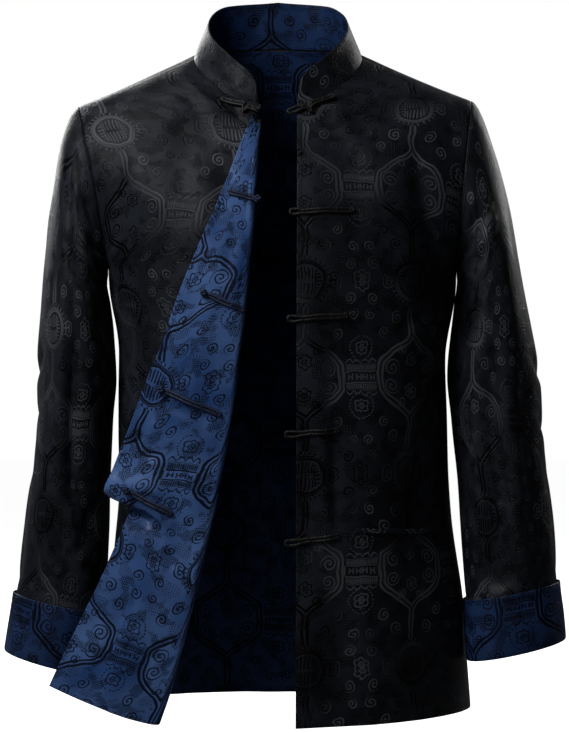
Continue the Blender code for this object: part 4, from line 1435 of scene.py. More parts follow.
@dataclass
class Frogs:
    """The frogs: straps of doubled cord, with a loop on the left and a knot on the right."""

    body: Body
    black: Material
    navy: Material
    cord: float = 0.00165
    apart: float = 0.00170
    loop_half_width: float = 0.0027
    sunk: float = 0.0003
    neck_lift: float = 0.0015
    ball: float = 0.0031
    ball_cord: float = 0.00105
    stitch: float = 0.00055
    stitch_places: tuple[float, ...] = (0.03, 0.30, 0.62, 0.92)
    wobble: float = 0.00035
    droop: float = 0.0012

    def strap(self, frog: Frog, cord: Cord, beyond: float) -> tuple[Array, Array, Array]:
        """The doubled cord from its sewn end to past the edge, and stitches across it.

        Args:
            frog: the frog.
            cord: where the cords go.
            beyond: how far past the edge the cords' middle runs; 0 stops at the edge.

        Returns:
            The strap's last point, the way along and the way out.
        """
        line = Line.between(self.body, frog.panel,
                            (frog.sewn_x, frog.sewn_z, frog.edge_x, frog.edge_z), 25)
        length = np.linalg.norm(np.diff(line.points, axis=0), axis=-1).sum()
        reach = beyond / length
        rise = WALL / 2 + self.cord - self.sunk
        rise += self.neck_lift if frog.name.endswith("_1") else 0
        run = np.linspace(0.0, 1.0, 46)
        swell = self.loop_half_width - self.apart
        far = np.linspace(-np.pi / 2, np.pi / 2, 17)[1:-1]
        width = self.apart + swell * ease((run * (1 + reach) - 0.93) / 0.12)
        width = width * (1 if beyond else 1 - 0.3 * ease((run - 0.8) / 0.2))
        tip = width[-1]
        shares = join([run * (1 + reach), 1 + reach + tip * np.cos(far) / length,
                                 (run * (1 + reach))[::-1],
                                 -self.apart * np.cos(far) / length])
        aside = join([-width, tip * np.sin(far), width[::-1],
                                -self.apart * np.sin(far)])
        point, along, out = line.at(shares)
        across = unit(np.cross(out, along))
        waver = self.wobble * np.sin(shares * 9 + len(frog.name) + frog.edge_z * 60)
        droop = self.droop * ease((shares - 1) / max(reach, 0.01)) * (beyond > 0)
        path = (point + (rise - droop)[:, None] * out
                + (aside + waver)[:, None] * across)
        cord.add(path, out, self.cord, closed=True)
        turn = np.linspace(0, np.pi, 15)[:, None]
        tall = rise + self.cord * 0.96 - WALL / 2
        for place in self.stitch_places:
            middle, _, up = line.at(np.array([place]))
            side = unit(np.cross(up, along))
            path = (middle + side * (self.apart + self.cord * 0.95) * np.cos(turn)
                    + up * (WALL / 2 + tall * np.maximum(np.sin(turn), 0) ** 0.5))
            cord.add(path, np.broadcast_to(along, path.shape), self.stitch)
        last, along, out = line.at(np.array([1.0]))
        return last[0] + rise * out[0], along, out[0]

    def loop(self, frog: Frog) -> Object:
        """A strap whose cords run past the edge in a loop."""
        cord = Cord()
        self.strap(frog, cord, frog.reach)
        return put_on(cord.build(f"cord_{frog.name}", self.black), frog.name)

    def button(self, frog: Frog) -> Object:
        """A strap that ends in a knotted ball.

        The knot is one cord round a ball: three times round its axis while it goes four
        times up and down, over and under by a small wave of its distance.

        Args:
            frog: the frog.

        Returns:
            The new object.
        """
        cord = Cord()
        last, along, out = self.strap(frog, cord, 0.0)
        centre = last + along * self.ball * 0.9 + out * (self.ball - self.cord + 0.0004)
        turn = np.linspace(0, 2 * np.pi, 181)[:-1]
        up_down = 0.98 * np.sin(4 * turn)
        far = self.ball * (1 + 0.10 * np.cos(12 * turn))
        across = np.cross(out, along)
        ray = (np.cos(up_down)[:, None] * (np.cos(3 * turn)[:, None] * along
                                           + np.sin(3 * turn)[:, None] * across)
               + np.sin(up_down)[:, None] * out)
        cord.add(centre + far[:, None] * ray, ray, self.ball_cord, closed=True)
        rings = np.linspace(0.06, np.pi - 0.06, 13)
        core = centre - np.cos(rings)[:, None] * along * self.ball * 0.98
        cord.add(core, np.broadcast_to(out, core.shape), self.ball * 0.98 * np.sin(rings))
        finish = self.navy if frog.panel == "flap" else self.black
        return put_on(cord.build(f"cord_{frog.name}", finish), frog.name)

    def build(self) -> list[Object]:
        """All ten frogs."""
        return [self.loop(frog) for frog in LOOPS] + [self.button(frog) for frog in BUTTONS]


@dataclass
class Welt:
    """The pocket's welt: a strip folded in two, sewn under, its fold along the top."""

    body: Body
    black: Material
    ends: Quad = (0.0805, -0.5142, 0.1765, -0.5180)
    half_height: float = 0.0024
    round: float = 0.00048
    wall: float = 0.0004
    count: int = 90
    origin: Pair = (0.10, 0.37)

    def build(self) -> list[Object]:
        """The folded strip along its line, a little uneven, with its ends tucked down."""
        line = Line.between(self.body, "left", self.ends, self.count)
        share = np.linspace(0, 1, self.count)
        along = unit(np.gradient(line.points, axis=0))
        up = unit(np.cross(along, line.out))
        up = up * np.sign(up[:, 2:3])
        turn = np.linspace(0, np.pi, 7)
        front, back = np.linspace(-1, 1, 8), np.linspace(1, -0.8, 7)
        height = self.half_height
        rise = join([front * height, height + self.round * np.sin(turn)[1:-1],
                               back * height])
        away = join([np.full(len(front), 2 * self.round),
                               self.round * (1 + np.cos(turn)[1:-1]), np.zeros(len(back))])
        tuck = ease(share / 0.03) * ease((1 - share) / 0.03)
        belly = 0.00035 * np.sin(share * 19) * tuck
        base = WALL / 2 + 0.0003 + self.wall
        swell = 1 + 0.35 * np.sin(np.pi * np.clip((rise / height + 1) / 2, 0, 1))
        grid = (line.points[None]
                + (rise[:, None] + belly[None])[..., None] * up[None]
                + (base + away[:, None] * (0.25 + 0.75 * tuck)[None]
                   * swell[:, None])[..., None] * line.out[None])
        measure = np.stack([arc(grid, 1) + self.origin[0], arc(grid, 0) + self.origin[1]], axis=-1)
        made = Shell("cloth_pocket_welt", grid, measure, wall=self.wall,
                     edge=np.full(grid.shape[:2], 1.0)).build([self.black] * 3)
        return [put_on(made, "pocket_welt_left")]


# --- shader wiring
@dataclass(frozen=True)
class Wire:
    """One value in a shader tree; arithmetic on it adds Math nodes."""

    tree: Tree
    end: Socket

    def math(self, operation: str, *others: Wire | float, clamp: bool = False) -> Wire:
        """A Math node of this value and up to two others.

        Args:
            operation: the node's operation.
            others: its other inputs.
            clamp: True to hold the result to 0..1.

        Returns:
            The result.
        """
        node = self.tree.nodes.new("ShaderNodeMath")
        node.operation = operation
        node.use_clamp = clamp
        for socket, value in zip(node.inputs, (self, *others)):
            if isinstance(value, Wire):
                self.tree.links.new(value.end, socket)
            else:
                socket.default_value = value
        return Wire(self.tree, node.outputs[0])

    def __add__(self, other: Wire | float) -> Wire:
        """Sum."""
        return self.math("ADD", other)

    def __sub__(self, other: Wire | float) -> Wire:
        """Difference."""
        return self.math("SUBTRACT", other)

    def __mul__(self, other: Wire | float) -> Wire:
        """Product."""
        return self.math("MULTIPLY", other)

    def __truediv__(self, other: Wire | float) -> Wire:
        """Quotient."""
        return self.math("DIVIDE", other)

    def __abs__(self) -> Wire:
        """Size without its sign."""
        return self.math("ABSOLUTE")

    def fold(self, length: float) -> Wire:
        """Up to the length and back to 0, over and over."""
        return self.math("PINGPONG", length)

    def most(self, other: Wire | float) -> Wire:
        """The larger of the two."""
        return self.math("MAXIMUM", other)

    def ramp(self, low: float, high: float) -> Wire:
        """0 at low, 1 at high, straight between and held beyond."""
        node = self.tree.nodes.new("ShaderNodeMapRange")
        node.inputs["From Min"].default_value = low
        node.inputs["From Max"].default_value = high
        self.tree.links.new(self.end, node.inputs["Value"])
        return Wire(self.tree, node.outputs["Result"])

    def stroke(self, half: float) -> Wire:
        """1 where the distance is under half, with a soft border of 0.6 millimetre."""
        return abs(self).ramp(half + 0.3, half - 0.3)

    def distance(self, other: Wire) -> Wire:
        """Length of the vector that has this and the other value as its parts."""
        return (self * self + other * other).math("SQRT")


class Group:
    """A shader node group with named sockets, made once and placed in each material."""

    def __init__(self, name: str, takes: dict[str, str], gives: tuple[str, ...]) -> None:
        """Start an empty group.

        Args:
            name: the group's name.
            takes: the kind of each input, by its name.
            gives: names of the outputs, which are all values.
        """
        self.tree = bpy.data.node_groups.new(name, "ShaderNodeTree")
        for socket, kind in takes.items():
            self.tree.interface.new_socket(socket, in_out="INPUT", socket_type=kind)
        for socket in gives:
            self.tree.interface.new_socket(socket, in_out="OUTPUT",
                                           socket_type="NodeSocketFloat")
        self.source = self.tree.nodes.new("NodeGroupInput")
        self.sink = self.tree.nodes.new("NodeGroupOutput")

    def take(self, name: str) -> Wire:
        """An input of the group."""
        return Wire(self.tree, self.source.outputs[name])

    def give(self, name: str, value: Wire) -> None:
        """Send a value to an output of the group."""
        self.tree.links.new(value.end, self.sink.inputs[name])

    def cloth_mm(self) -> tuple[Wire, Wire]:
        """Across and along the cloth in millimetres, from the Cloth input in metres."""
        split = self.tree.nodes.new("ShaderNodeSeparateXYZ")
        self.tree.links.new(self.source.outputs["Cloth"], split.inputs[0])
        return (Wire(self.tree, split.outputs[0]) * 1000.0,
                Wire(self.tree, split.outputs[1]) * 1000.0)

    def noise(self, x: Wire, y: Wire, detail: float = 2.0) -> Wire:
        """Smooth noise from 0 to 1 of a place whose units are its lumps.

        Args:
            x: place across.
            y: place along.
            detail: how many finer layers are added.

        Returns:
            The noise.
        """
        place = self.tree.nodes.new("ShaderNodeCombineXYZ")
        self.tree.links.new(x.end, place.inputs[0])
        self.tree.links.new(y.end, place.inputs[1])
        node = self.tree.nodes.new("ShaderNodeTexNoise")
        node.inputs["Scale"].default_value = 1.0
        node.inputs["Detail"].default_value = detail
        self.tree.links.new(place.outputs[0], node.inputs["Vector"])
        return Wire(self.tree, node.outputs["Fac"])


# --- the brocade's drawing
class Spiral(NamedTuple):
    """A scroll's end: its centre in the tile, its outer radius, its pitch and its hand."""

    across: float
    along: float
    radius: float
    pitch: float
    hand: int


class Flower(NamedTuple):
    """A peony seen from above: its centre, its size, and its ring of dots if it has one."""

    across: float
    along: float
    petals: int
    radius: float
    dots: float


class Scales(NamedTuple):
    """An oval patch of fish-scale dots."""

    across: float
    along: float
    wide: float
    tall: float


SPIRALS = (
    Spiral(35.5, 9.5, 9.0, 4.6, 1),
    Spiral(48.0, 27.0, 5.5, 3.6, -1),
    Spiral(26.0, 47.0, 6.5, 3.8, -1),
    Spiral(40.0, 62.0, 7.5, 4.2, 1),
    Spiral(9.5, 66.0, 6.0, 3.8, 1),
    Spiral(13.0, 84.0, 6.5, 3.8, -1),
    Spiral(30.0, 99.0, 6.5, 4.0, 1),
)
FLOWERS = (
    Flower(0.0, 31.0, 5, 7.6, 13.0),
    Flower(0.0, 99.0, 6, 8.0, 0.0),
    Flower(60.0, 17.0, 6, 7.0, 0.0),
)
SCALES = (
    Scales(27.0, 80.0, 11.0, 8.0),
    Scales(45.0, 41.0, 9.0, 7.0),
    Scales(15.0, 55.0, 8.0, 5.5),
)


@dataclass(frozen=True)
class Drawing:
    """The repeat of the brocade, in millimetres, mirrored both ways about its tile."""

    half_width: float = 60.0
    half_height: float = 102.0
    line: float = 1.35
    thin: float = 0.75
    block_wide: float = 17.0
    brick: float = 2.1
    rope_in: float = 22.5
    rope_swing: float = 37.5
    rope_from: float = 11.0
    rope_rise: float = 36.0
    rope_gap: float = 2.3
    lumps: float = 21.0
    stray: float = 7.0
    medallion: Triple = (25.0, 21.8, 15.5)

    def spiral(self, across: Wire, along: Wire, scroll: Spiral) -> Wire:
        """A scroll: the distance from it is the fold of radius over pitch plus the turn."""
        x, y = across - scroll.across, along - scroll.along
        radius = x.distance(y)
        turn = y.math("ARCTAN2", x) * (scroll.hand / (2 * np.pi))
        away = (radius * (1 / scroll.pitch) + turn + 8.0).fold(0.5) * scroll.pitch
        return away.stroke(self.thin) * radius.ramp(scroll.radius + 0.3, scroll.radius - 0.3)

    def flower(self, across: Wire, along: Wire, flower: Flower) -> Wire:
        """Two rounds of petals, a heart, and a ring of dots for the larger kind.

        Args:
            across: place across the tile.
            along: place along the tile.
            flower: which flower.

        Returns:
            1 on its lines.
        """
        x, y = across - flower.across, along - flower.along
        radius, turn = x.distance(y), y.math("ARCTAN2", x)
        wave = abs((turn * (flower.petals / 2)).math("SINE"))
        outer = (radius - wave * (0.30 * flower.radius) - 0.74 * flower.radius)
        inner = (radius + wave * (0.20 * flower.radius) - 0.48 * flower.radius)
        shape = outer.stroke(self.thin).most(inner.stroke(self.thin))
        shape = shape.most(radius.stroke(0.13 * flower.radius))
        if flower.dots:
            beads = round(flower.dots * 1.75)
            bead = (turn * (beads / 2)).math("SINE") * (2 * flower.dots / beads)
            shape = shape.most((radius - flower.dots).distance(bead).stroke(0.85))
        return shape

    def block(self, across: Wire, along: Wire) -> Wire:
        """Bands of upright bricks between rules, a fret across the middle, wavy tops.

        Args:
            across: place across the tile.
            along: place along the tile.

        Returns:
            1 on its lines.
        """
        inside = across.ramp(self.block_wide + 0.3, self.block_wide - 0.3)
        bricks = (across + 0.5).fold(self.brick) - self.brick / 2
        outer = (along - 10.0).stroke(2.6) * bricks.stroke(self.thin)
        outer = outer.most((along - 6.0).stroke(self.thin)).most((along - 13.6).stroke(0.3))
        slow = (across + 1.0).fold(self.brick * 2) - self.brick
        fret = along.stroke(3.0) * slow.stroke(self.thin)
        fret = fret.most(along.stroke(self.thin) * slow.ramp(0.2, 0.6))
        wave = abs((across * (np.pi / 8.5)).math("SINE")) * 3.4
        tops = (along - wave - 15.2).stroke(self.thin)
        sides = (across - self.block_wide - 1.4).stroke(self.thin) * along.ramp(6.0, 5.4)
        return (outer.most(fret).most(tops) * inside).most(sides)

    def medallion_bars(self, across: Wire, along: Wire) -> Wire:
        """A round fret: two rings, short rays round them, and nested bars inside.

        Args:
            across: place across the tile.
            along: place along the tile.

        Returns:
            1 on its lines.
        """
        x, y = abs(across - self.half_width), abs(along - self.half_height)
        radius, turn = x.distance(y), y.math("ARCTAN2", x)
        outer, middle, inner = self.medallion
        ray = (turn * 14.0).math("SINE") * (outer / 14.0)
        rays = (radius - outer).stroke(1.7) * ray.stroke(self.thin)
        rings = (radius - middle).stroke(self.thin).most((radius - middle + 2.6).stroke(self.line))
        middle_bars = x.ramp(9.4, 8.8) * y.ramp(1.2, 1.8)
        bars = (x.fold(1.75).stroke(self.thin) * middle_bars).most(
            y.fold(1.75).stroke(self.thin) * x.ramp(9.6, 10.2))
        bars = bars.most((x - 9.6).stroke(self.thin))
        return rays.most(rings).most(bars * radius.ramp(inner + 0.3, inner - 0.3))

    def rope(self, across: Wire, along: Wire) -> tuple[Wire, Wire]:
        """The double line of the cartouche, and the inside of it.

        It stands at rope_in beside the block and swings out by a smooth step of the
        height; the distance from it is divided by the length of its slope.

        Args:
            across: place across the tile.
            along: place along the tile.

        Returns:
            The lines, and 1 inside the cartouche.
        """
        share = along.ramp(self.rope_from, self.rope_from + self.rope_rise)
        swing = share * share * (share * -2.0 + 3.0)
        slope = share * (share * -1.0 + 1.0) * (6 * self.rope_swing / self.rope_rise)
        away = (across - self.rope_in - swing * self.rope_swing)
        away = away / (slope * slope + 1.0).math("SQRT")
        from_medallion = (across - self.half_width).distance(along - self.half_height)
        clear = from_medallion.ramp(self.medallion[0] + 1.0, self.medallion[0] + 2.0)
        double = (abs(away) - self.rope_gap).stroke(self.line) * clear
        return double, away.ramp(-0.4, 0.4)

    def scales(self, across: Wire, along: Wire, patch: Scales) -> Wire:
        """Dots on a diagonal net: the product of two crossing sines, in an oval."""
        x, y = across - patch.across, along - patch.along
        net = ((x + y) * 1.25).math("SINE") * ((x - y) * 1.25).math("SINE")
        oval = (x * (1 / patch.wide)).distance(y * (1 / patch.tall))
        return net.ramp(0.25, 0.55) * oval.ramp(1.03, 0.95)

    def build(self) -> Tree:
        """The group, drawn on coordinates that a noise shifts by a few millimetres.

        Returns:
            A tree that gives Line for the drawn lines, Figure for the inside of the
            cartouches, and Dots for the fish scales and for loose clouds of dots.
        """
        group = Group("brocade_drawing", {"Cloth": "NodeSocketVector"},
                      ("Line", "Figure", "Dots"))
        u, v = group.cloth_mm()
        noise = [group.noise(u / self.lumps + start, v / self.lumps, 1.0) - 0.5
                 for start in (3.0, 31.0)]
        across = (u + noise[0] * self.stray).fold(self.half_width)
        along = (v + noise[1] * self.stray).fold(self.half_height)
        double, inside = self.rope(across, along)
        line = double.most(self.block(across, along))
        line = line.most(self.medallion_bars(across, along))
        for scroll in SPIRALS:
            line = line.most(self.spiral(across, along, scroll))
        for flower in FLOWERS:
            line = line.most(self.flower(across, along, flower))
        dots = self.scales(across, along, SCALES[0])
        for patch in SCALES[1:]:
            dots = dots.most(self.scales(across, along, patch))
        net = (across * 1.5).math("SINE") * (along * 1.5).math("SINE")
        clouds = group.noise(u / 17.0 + 11.0, v / 17.0, 3.0).ramp(0.51, 0.57)
        dots = dots.most(abs(net).ramp(0.15, 0.45) * clouds)
        group.give("Line", line.math("ADD", 0.0, clamp=True))
        group.give("Figure", inside)
        group.give("Dots", dots)
        return group.tree


def tone_group() -> Tree:
    """Large soft patches, and small ones: where the figure is light, painted sheen on the black
    face, and where it shines.
    """
    group = Group("cloth_tone", {"Cloth": "NodeSocketVector"}, ("Patch", "Flip", "Slub"))
    u, v = group.cloth_mm()
    group.give("Patch", group.noise(u / 60.0, v / 75.0))
    group.give("Flip", group.noise(u / 95.0 + 7.0, v / 120.0, 1.0).ramp(0.44, 0.60))
    group.give("Slub", group.noise(u / 9.0, v / 0.9, 3.0))
    return group.tree


def stitch_group() -> Tree:
    """Dashes of hand stitching two millimetres and a half inside an edge."""
    group = Group("edge_stitches", {"Cloth": "NodeSocketVector", "Edge": "NodeSocketFloat"},
                  ("Stitch", "Ridge"))
    u, v = group.cloth_mm()
    edge = group.take("Edge") * 1000.0
    dash = (u + v).fold(2.2) - 0.9
    group.give("Stitch", (edge - 2.5).stroke(0.25) * dash.ramp(0.0, 0.3))
    group.give("Ridge", edge.ramp(5.5, 4.2))
    return group.tree


# --- materials
@dataclass(frozen=True)
class Brocade:
    """One face of the cloth: its colours, how it shines and how it is drawn."""

    name: str
    ground: Triple
    patch: Triple
    dark_line: Triple
    light_line: Triple
    flips: float
    roughness: float
    line_roughness: float
    sheen: float
    sheen_roughness: float
    sheen_tint: Triple
    specular: float
    relief: float


# Black face: the light line colour is a painted sheen of the satin figure, where the Flip noise
# picks.
BLACK = Brocade("black_brocade", ground=(0.0104, 0.0122, 0.0164), patch=(0.0270, 0.0315, 0.0430),
                dark_line=(0.0006, 0.0006, 0.0008), light_line=(0.0900, 0.0980, 0.1100),
                flips=1.0, roughness=0.44, line_roughness=0.36, sheen=0.03,
                sheen_roughness=0.45, sheen_tint=(0.70, 0.76, 1.0), specular=0.12, relief=1.0)
# Navy face: the pale patch colour is partly random tone and partly painted satin highlight.
NAVY = Brocade("navy_brocade", ground=(0.0330, 0.0900, 0.2800), patch=(0.1250, 0.2400, 0.5600),
               dark_line=(0.0004, 0.0011, 0.0060), light_line=(0.0030, 0.0070, 0.0240),
               flips=0.5, roughness=0.33, line_roughness=0.60, sheen=0.0,
               sheen_roughness=0.40, sheen_tint=(0.45, 0.62, 1.0), specular=0.16, relief=1.0)
# Painted shade: the navy darkened for the insides, sleeves, cuffs and collar, which lie in shade.
PAINTED_SHADE_NAVY = replace(NAVY, name="painted_shade_navy_brocade", ground=(0.0100, 0.0300, 0.1000),
                    patch=(0.0330, 0.0720, 0.2000), dark_line=(0.0002, 0.0006, 0.0035),
                    light_line=(0.0010, 0.0025, 0.0110))


@dataclass(frozen=True)
class Thread:
    """A cord or a binding with no drawing on it."""

    name: str
    colour: Triple
    # shade: painted shade in the grooves between the threads.
    shade: Triple
    roughness: float
    sheen: float
    specular: float


BLACK_CORD = Thread("black_cord", (0.0075, 0.0078, 0.0085), (0.0020, 0.0020, 0.0024),
                    0.42, 0.12, 0.40)
NAVY_CORD = Thread("navy_cord", (0.0170, 0.0340, 0.0950), (0.0030, 0.0070, 0.0260),
                   0.42, 0.18, 0.40)
BLACK_EDGE = Thread("black_edge", (0.0050, 0.0054, 0.0062), (0.0030, 0.0032, 0.0038),
                    0.50, 0.08, 0.30)


def put(node: Node, **values: float | tuple) -> None:
    """Set a node's own inputs, with each space in a name written as an underscore."""
    for name, value in values.items():
        node.inputs[name.replace("_", " ")].default_value = value


@dataclass
class Wardrobe:
    """Makes the materials, with the drawing, tone and stitch groups placed in them."""

    drawing: Tree = field(default_factory=lambda: Drawing().build())
    tone: Tree = field(default_factory=tone_group)
    stitches: Tree = field(default_factory=stitch_group)

    @staticmethod
    def start(name: str) -> tuple[Material, Tree, Node, Node]:
        """A material with its Principled shader and the cloth's coordinates."""
        made = bpy.data.materials.new(name)
        made.use_nodes = True
        tree = made.node_tree
        cloth = tree.nodes.new("ShaderNodeUVMap")
        cloth.uv_map = "cloth"
        return made, tree, tree.nodes["Principled BSDF"], cloth

    @staticmethod
    def place(tree: Tree, group: Tree, cloth: Node) -> Node:
        """A group's node, reading the cloth's coordinates."""
        node = tree.nodes.new("ShaderNodeGroup")
        node.node_tree = group
        tree.links.new(cloth.outputs[0], node.inputs["Cloth"])
        return node

    @staticmethod
    def mix(tree: Tree, share: Wire, low: Triple | Socket, high: Triple | Socket) -> Socket:
        """A colour between two colours.

        Args:
            tree: the material's tree.
            share: 0 for the low colour, 1 for the high one.
            low: a colour or a socket.
            high: a colour or a socket.

        Returns:
            The mixed colour's socket.
        """
        node = tree.nodes.new("ShaderNodeMix")
        node.data_type = "RGBA"
        tree.links.new(share.end, node.inputs["Factor"])
        for socket, value in ((node.inputs[6], low), (node.inputs[7], high)):
            if isinstance(value, Socket):
                tree.links.new(value, socket)
            else:
                socket.default_value = (*value, 1.0)
        return node.outputs[2]

    @staticmethod
    def relief(tree: Tree, shader: Node, height: Wire, strength: float, distance: float) -> None:
        """A bump from a height to the shader's Normal."""
        bump = tree.nodes.new("ShaderNodeBump")
        put(bump, Strength=strength, Distance=distance)
        tree.links.new(height.end, bump.inputs["Height"])
        tree.links.new(bump.outputs["Normal"], shader.inputs["Normal"])

    @staticmethod
    def constants(shader: Node, specular: float, sheen: float,
                  sheen_roughness: float, tint: Triple) -> None:
        """The shader's values that are the same all over."""
        put(shader, Metallic=0.0, Specular_IOR_Level=specular, Sheen_Weight=sheen,
            Sheen_Roughness=sheen_roughness, Sheen_Tint=(*tint, 1.0))

    def brocade(self, finish: Brocade) -> Material:
        """A face of the cloth with the drawing on it.

        The ground moves softly between its two colours, the paler one partly random tone and
        partly painted satin sheen.
        Dots darken it, and the drawn lines are dark too, but turn light in the patches that the
        Flip noise picks.

        Args:
            finish: the face's colours and values.

        Returns:
            The material.
        """
        made, tree, shader, cloth = self.start(finish.name)
        drawing, tone = self.place(tree, self.drawing, cloth), self.place(tree, self.tone, cloth)
        stitches = self.place(tree, self.stitches, cloth)
        edge = tree.nodes.new("ShaderNodeAttribute")
        edge.attribute_name = "edge"
        tree.links.new(edge.outputs["Fac"], stitches.inputs["Edge"])
        line, figure, dots = (Wire(tree, drawing.outputs[name])
                              for name in ("Line", "Figure", "Dots"))
        patch, flip, slub = (Wire(tree, tone.outputs[name])
                             for name in ("Patch", "Flip", "Slub"))
        drawn = line.most(dots)
        # Partly painted sheen: the ground pales in soft noise patches and inside the cartouches.
        share = patch.ramp(0.35, 0.68) * 0.75 + figure * 0.25
        ground = self.mix(tree, share, finish.ground, finish.patch)
        # Drawn lines: dark, or light where Flip picks; on the black face the light tone is painted
        # sheen.
        line_and_sheen_colour = self.mix(tree, flip * finish.flips, finish.dark_line, finish.light_line)
        ground = self.mix(tree, dots * 0.8, ground, finish.dark_line)
        colour = self.mix(tree, line * 0.96, ground, line_and_sheen_colour)
        stitch = Wire(tree, stitches.outputs["Stitch"])
        colour = self.mix(tree, stitch * 0.6, colour, finish.dark_line)
        tree.links.new(colour, shader.inputs["Base Color"])
        rough = (drawn * (finish.line_roughness - finish.roughness) + finish.roughness
                 + (slub - 0.5) * 0.10 - figure * 0.03)
        tree.links.new(rough.end, shader.inputs["Roughness"])
        ridge = Wire(tree, stitches.outputs["Ridge"])
        height = drawn * -0.7 + slub * 0.25 - stitch * 1.2 + ridge * 0.8
        self.relief(tree, shader, height, finish.relief, 0.0003)
        self.constants(shader, finish.specular, finish.sheen, finish.sheen_roughness,
                       finish.sheen_tint)
        return made

    def thread(self, finish: Thread) -> Material:
        """A twisted cord or a plain edge: slanting threads, with painted shade darker between
        them.

        Args:
            finish: the thread's colours and values.

        Returns:
            The material.
        """
        made, tree, shader, cloth = self.start(finish.name)
        split = tree.nodes.new("ShaderNodeSeparateXYZ")
        tree.links.new(cloth.outputs[0], split.inputs[0])
        u, v = Wire(tree, split.outputs[0]), Wire(tree, split.outputs[1])
        twist = ((u * 0.9 + v) * (2 * np.pi / 0.0016)).math("SINE").ramp(-1.0, 0.6)
        # Painted shade: the colour darkens in the grooves between the threads.
        colour = self.mix(tree, twist, finish.shade, finish.colour)
        tree.links.new(colour, shader.inputs["Base Color"])
        put(shader, Roughness=finish.roughness)
        self.relief(tree, shader, twist, 0.5, 0.0003)
        self.constants(shader, finish.specular, finish.sheen, 0.4, (0.8, 0.85, 1.0))
        return made


# --- studio
class Lamp(NamedTuple):
    """A soft rectangle of light: where it is, where it looks, its size and its power."""

    name: str
    place: Triple
    target: Triple
    wide: float
    tall: float
    power: float


LAMPS = (
    Lamp("key", (-0.92, -0.90, 0.62), (-0.06, 0.0, -0.20), 0.55, 0.55, 9.5),
    Lamp("top", (-0.80, -0.25, 1.30), (-0.10, 0.0, 0.0), 0.6, 0.5, 5.0),
    Lamp("front", (-0.80, -2.70, 0.60), (-0.15, 0.0, -0.30), 1.0, 1.0, 1.8),
    Lamp("rear_left", (1.50, 1.70, 0.70), (0.0, 0.0, -0.30), 1.2, 1.2, 15.0),
    Lamp("rear_right", (-1.10, 1.90, 0.70), (0.0, 0.0, -0.30), 1.2, 1.2, 30.0),
)


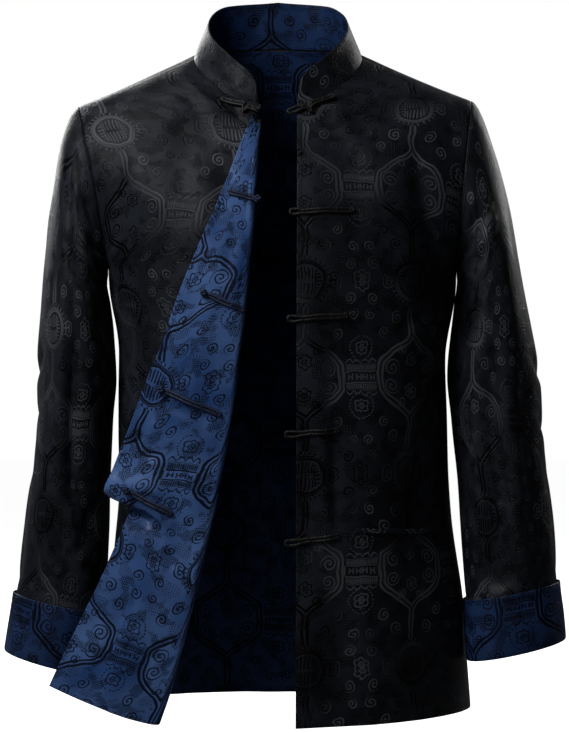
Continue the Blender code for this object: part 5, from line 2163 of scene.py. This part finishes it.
@dataclass
class Studio:
    """Pale floor, soft lamps, white air that lights the object only dimly, and the camera."""

    floor: float = -0.80
    reach: float = 9.0
    camera_place: Triple = (0.007, -2.6, -0.341)
    lens: float = 116.1
    ambient: float = 0.02
    bounce: float = 0.20

    def ground(self) -> None:
        """A plain floor, white to the camera and paler grey to the light that it returns."""
        i = np.array([0.0, 1.0])
        points = stack((i[None] - 0.5) * self.reach * 2, (i[:, None] - 0.5) * self.reach * 2,
                       self.floor)
        finish = bpy.data.materials.new("pale_floor")
        finish.use_nodes = True
        tree = finish.node_tree
        shader = tree.nodes["Principled BSDF"]
        seen = Wire(tree, tree.nodes.new("ShaderNodeLightPath").outputs["Is Camera Ray"])
        grey, white = (self.bounce,) * 3, (0.9, 0.9, 0.9)
        tree.links.new(Wardrobe.mix(tree, seen, grey, white), shader.inputs["Base Color"])
        tree.links.new(Wardrobe.mix(tree, seen, (0.0, 0.0, 0.0), (0.96, 0.96, 0.96)),
                       shader.inputs["Emission Color"])
        put(shader, Emission_Strength=1.0, Roughness=0.9, Specular_IOR_Level=0.0)
        face = np.array([[0, 1, 3, 2]])
        corners = points.reshape(-1, 3)[face][..., :2]
        quad_object("studio_floor", points.reshape(-1, 3), face, corners,
                             np.zeros(1, int), [finish])

    @staticmethod
    def aim(made: Object, place: Triple, target: Triple) -> None:
        """Put a lamp at its place and turn it to its target."""
        from_target = unit(np.array(place) - np.array(target))
        side = unit(np.cross([0.0, 0.0, 1.0], from_target))
        up = np.cross(from_target, side)
        turned = np.eye(4)
        turned[:3, :3] = np.stack([side, up, from_target], axis=1)
        turned[:3, 3] = place
        made.matrix_world = turned.T.tolist()

    def lamps(self) -> None:
        """The soft lamps."""
        for lamp in LAMPS:
            light = bpy.data.lights.new(lamp.name, "AREA")
            light.shape = "RECTANGLE"
            light.size, light.size_y = lamp.wide, lamp.tall
            light.energy = lamp.power
            self.aim(add_object(lamp.name, light), lamp.place, lamp.target)

    def air(self) -> None:
        """White where the camera looks past the object, and a dim even light on it."""
        world = bpy.data.worlds.new("studio_air")
        bpy.context.scene.world = world
        world.use_nodes = True
        tree = world.node_tree
        seen = Wire(tree, tree.nodes.new("ShaderNodeLightPath").outputs["Is Camera Ray"])
        strength = seen * (1.0 - self.ambient) + self.ambient
        tree.nodes["Background"].inputs["Color"].default_value = (1.0, 1.0, 1.0, 1.0)
        tree.links.new(strength.end, tree.nodes["Background"].inputs["Strength"])

    def camera(self) -> None:
        """Level with the middle of the jacket and square to its front."""
        lens = bpy.data.cameras.new("camera")
        lens.lens = self.lens
        lens.sensor_width = 36.0
        made = add_object("camera", lens)
        made.location = self.camera_place
        made.rotation_euler = (np.pi / 2, 0.0, 0.0)
        bpy.context.scene.camera = made

    def build(self) -> None:
        """Everything round the object."""
        self.ground()
        self.lamps()
        self.air()
        self.camera()
        bpy.context.scene.view_settings.view_transform = "Standard"


# --- the whole
def main() -> None:
    """Load the frame, dress it, light it, and log each piece's triangles."""
    logging.basicConfig(level=logging.INFO, format="%(message)s")
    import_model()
    wardrobe = Wardrobe()
    black, navy, painted_shade_navy = (wardrobe.brocade(face) for face in (BLACK, NAVY, PAINTED_SHADE_NAVY))
    edging = wardrobe.thread(BLACK_EDGE)
    black_cord, navy_cord = wardrobe.thread(BLACK_CORD), wardrobe.thread(NAVY_CORD)
    body = Body(black, navy, painted_shade_navy, edging)
    made = body.build()
    # Sleeves, cuffs and collar take the painted shade copy of the navy for their navy faces.
    made += Sleeves(black, painted_shade_navy, edging).build()
    made += Collar(black, painted_shade_navy, edging).build()
    made += Frogs(body, black_cord, navy_cord).build()
    made += Welt(body, black).build()
    for piece in made:
        LOG.info("%s: %d triangles", piece.name, 2 * len(piece.data.polygons))
    Studio().build()
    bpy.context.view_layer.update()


if __name__ == "__main__":
    main()
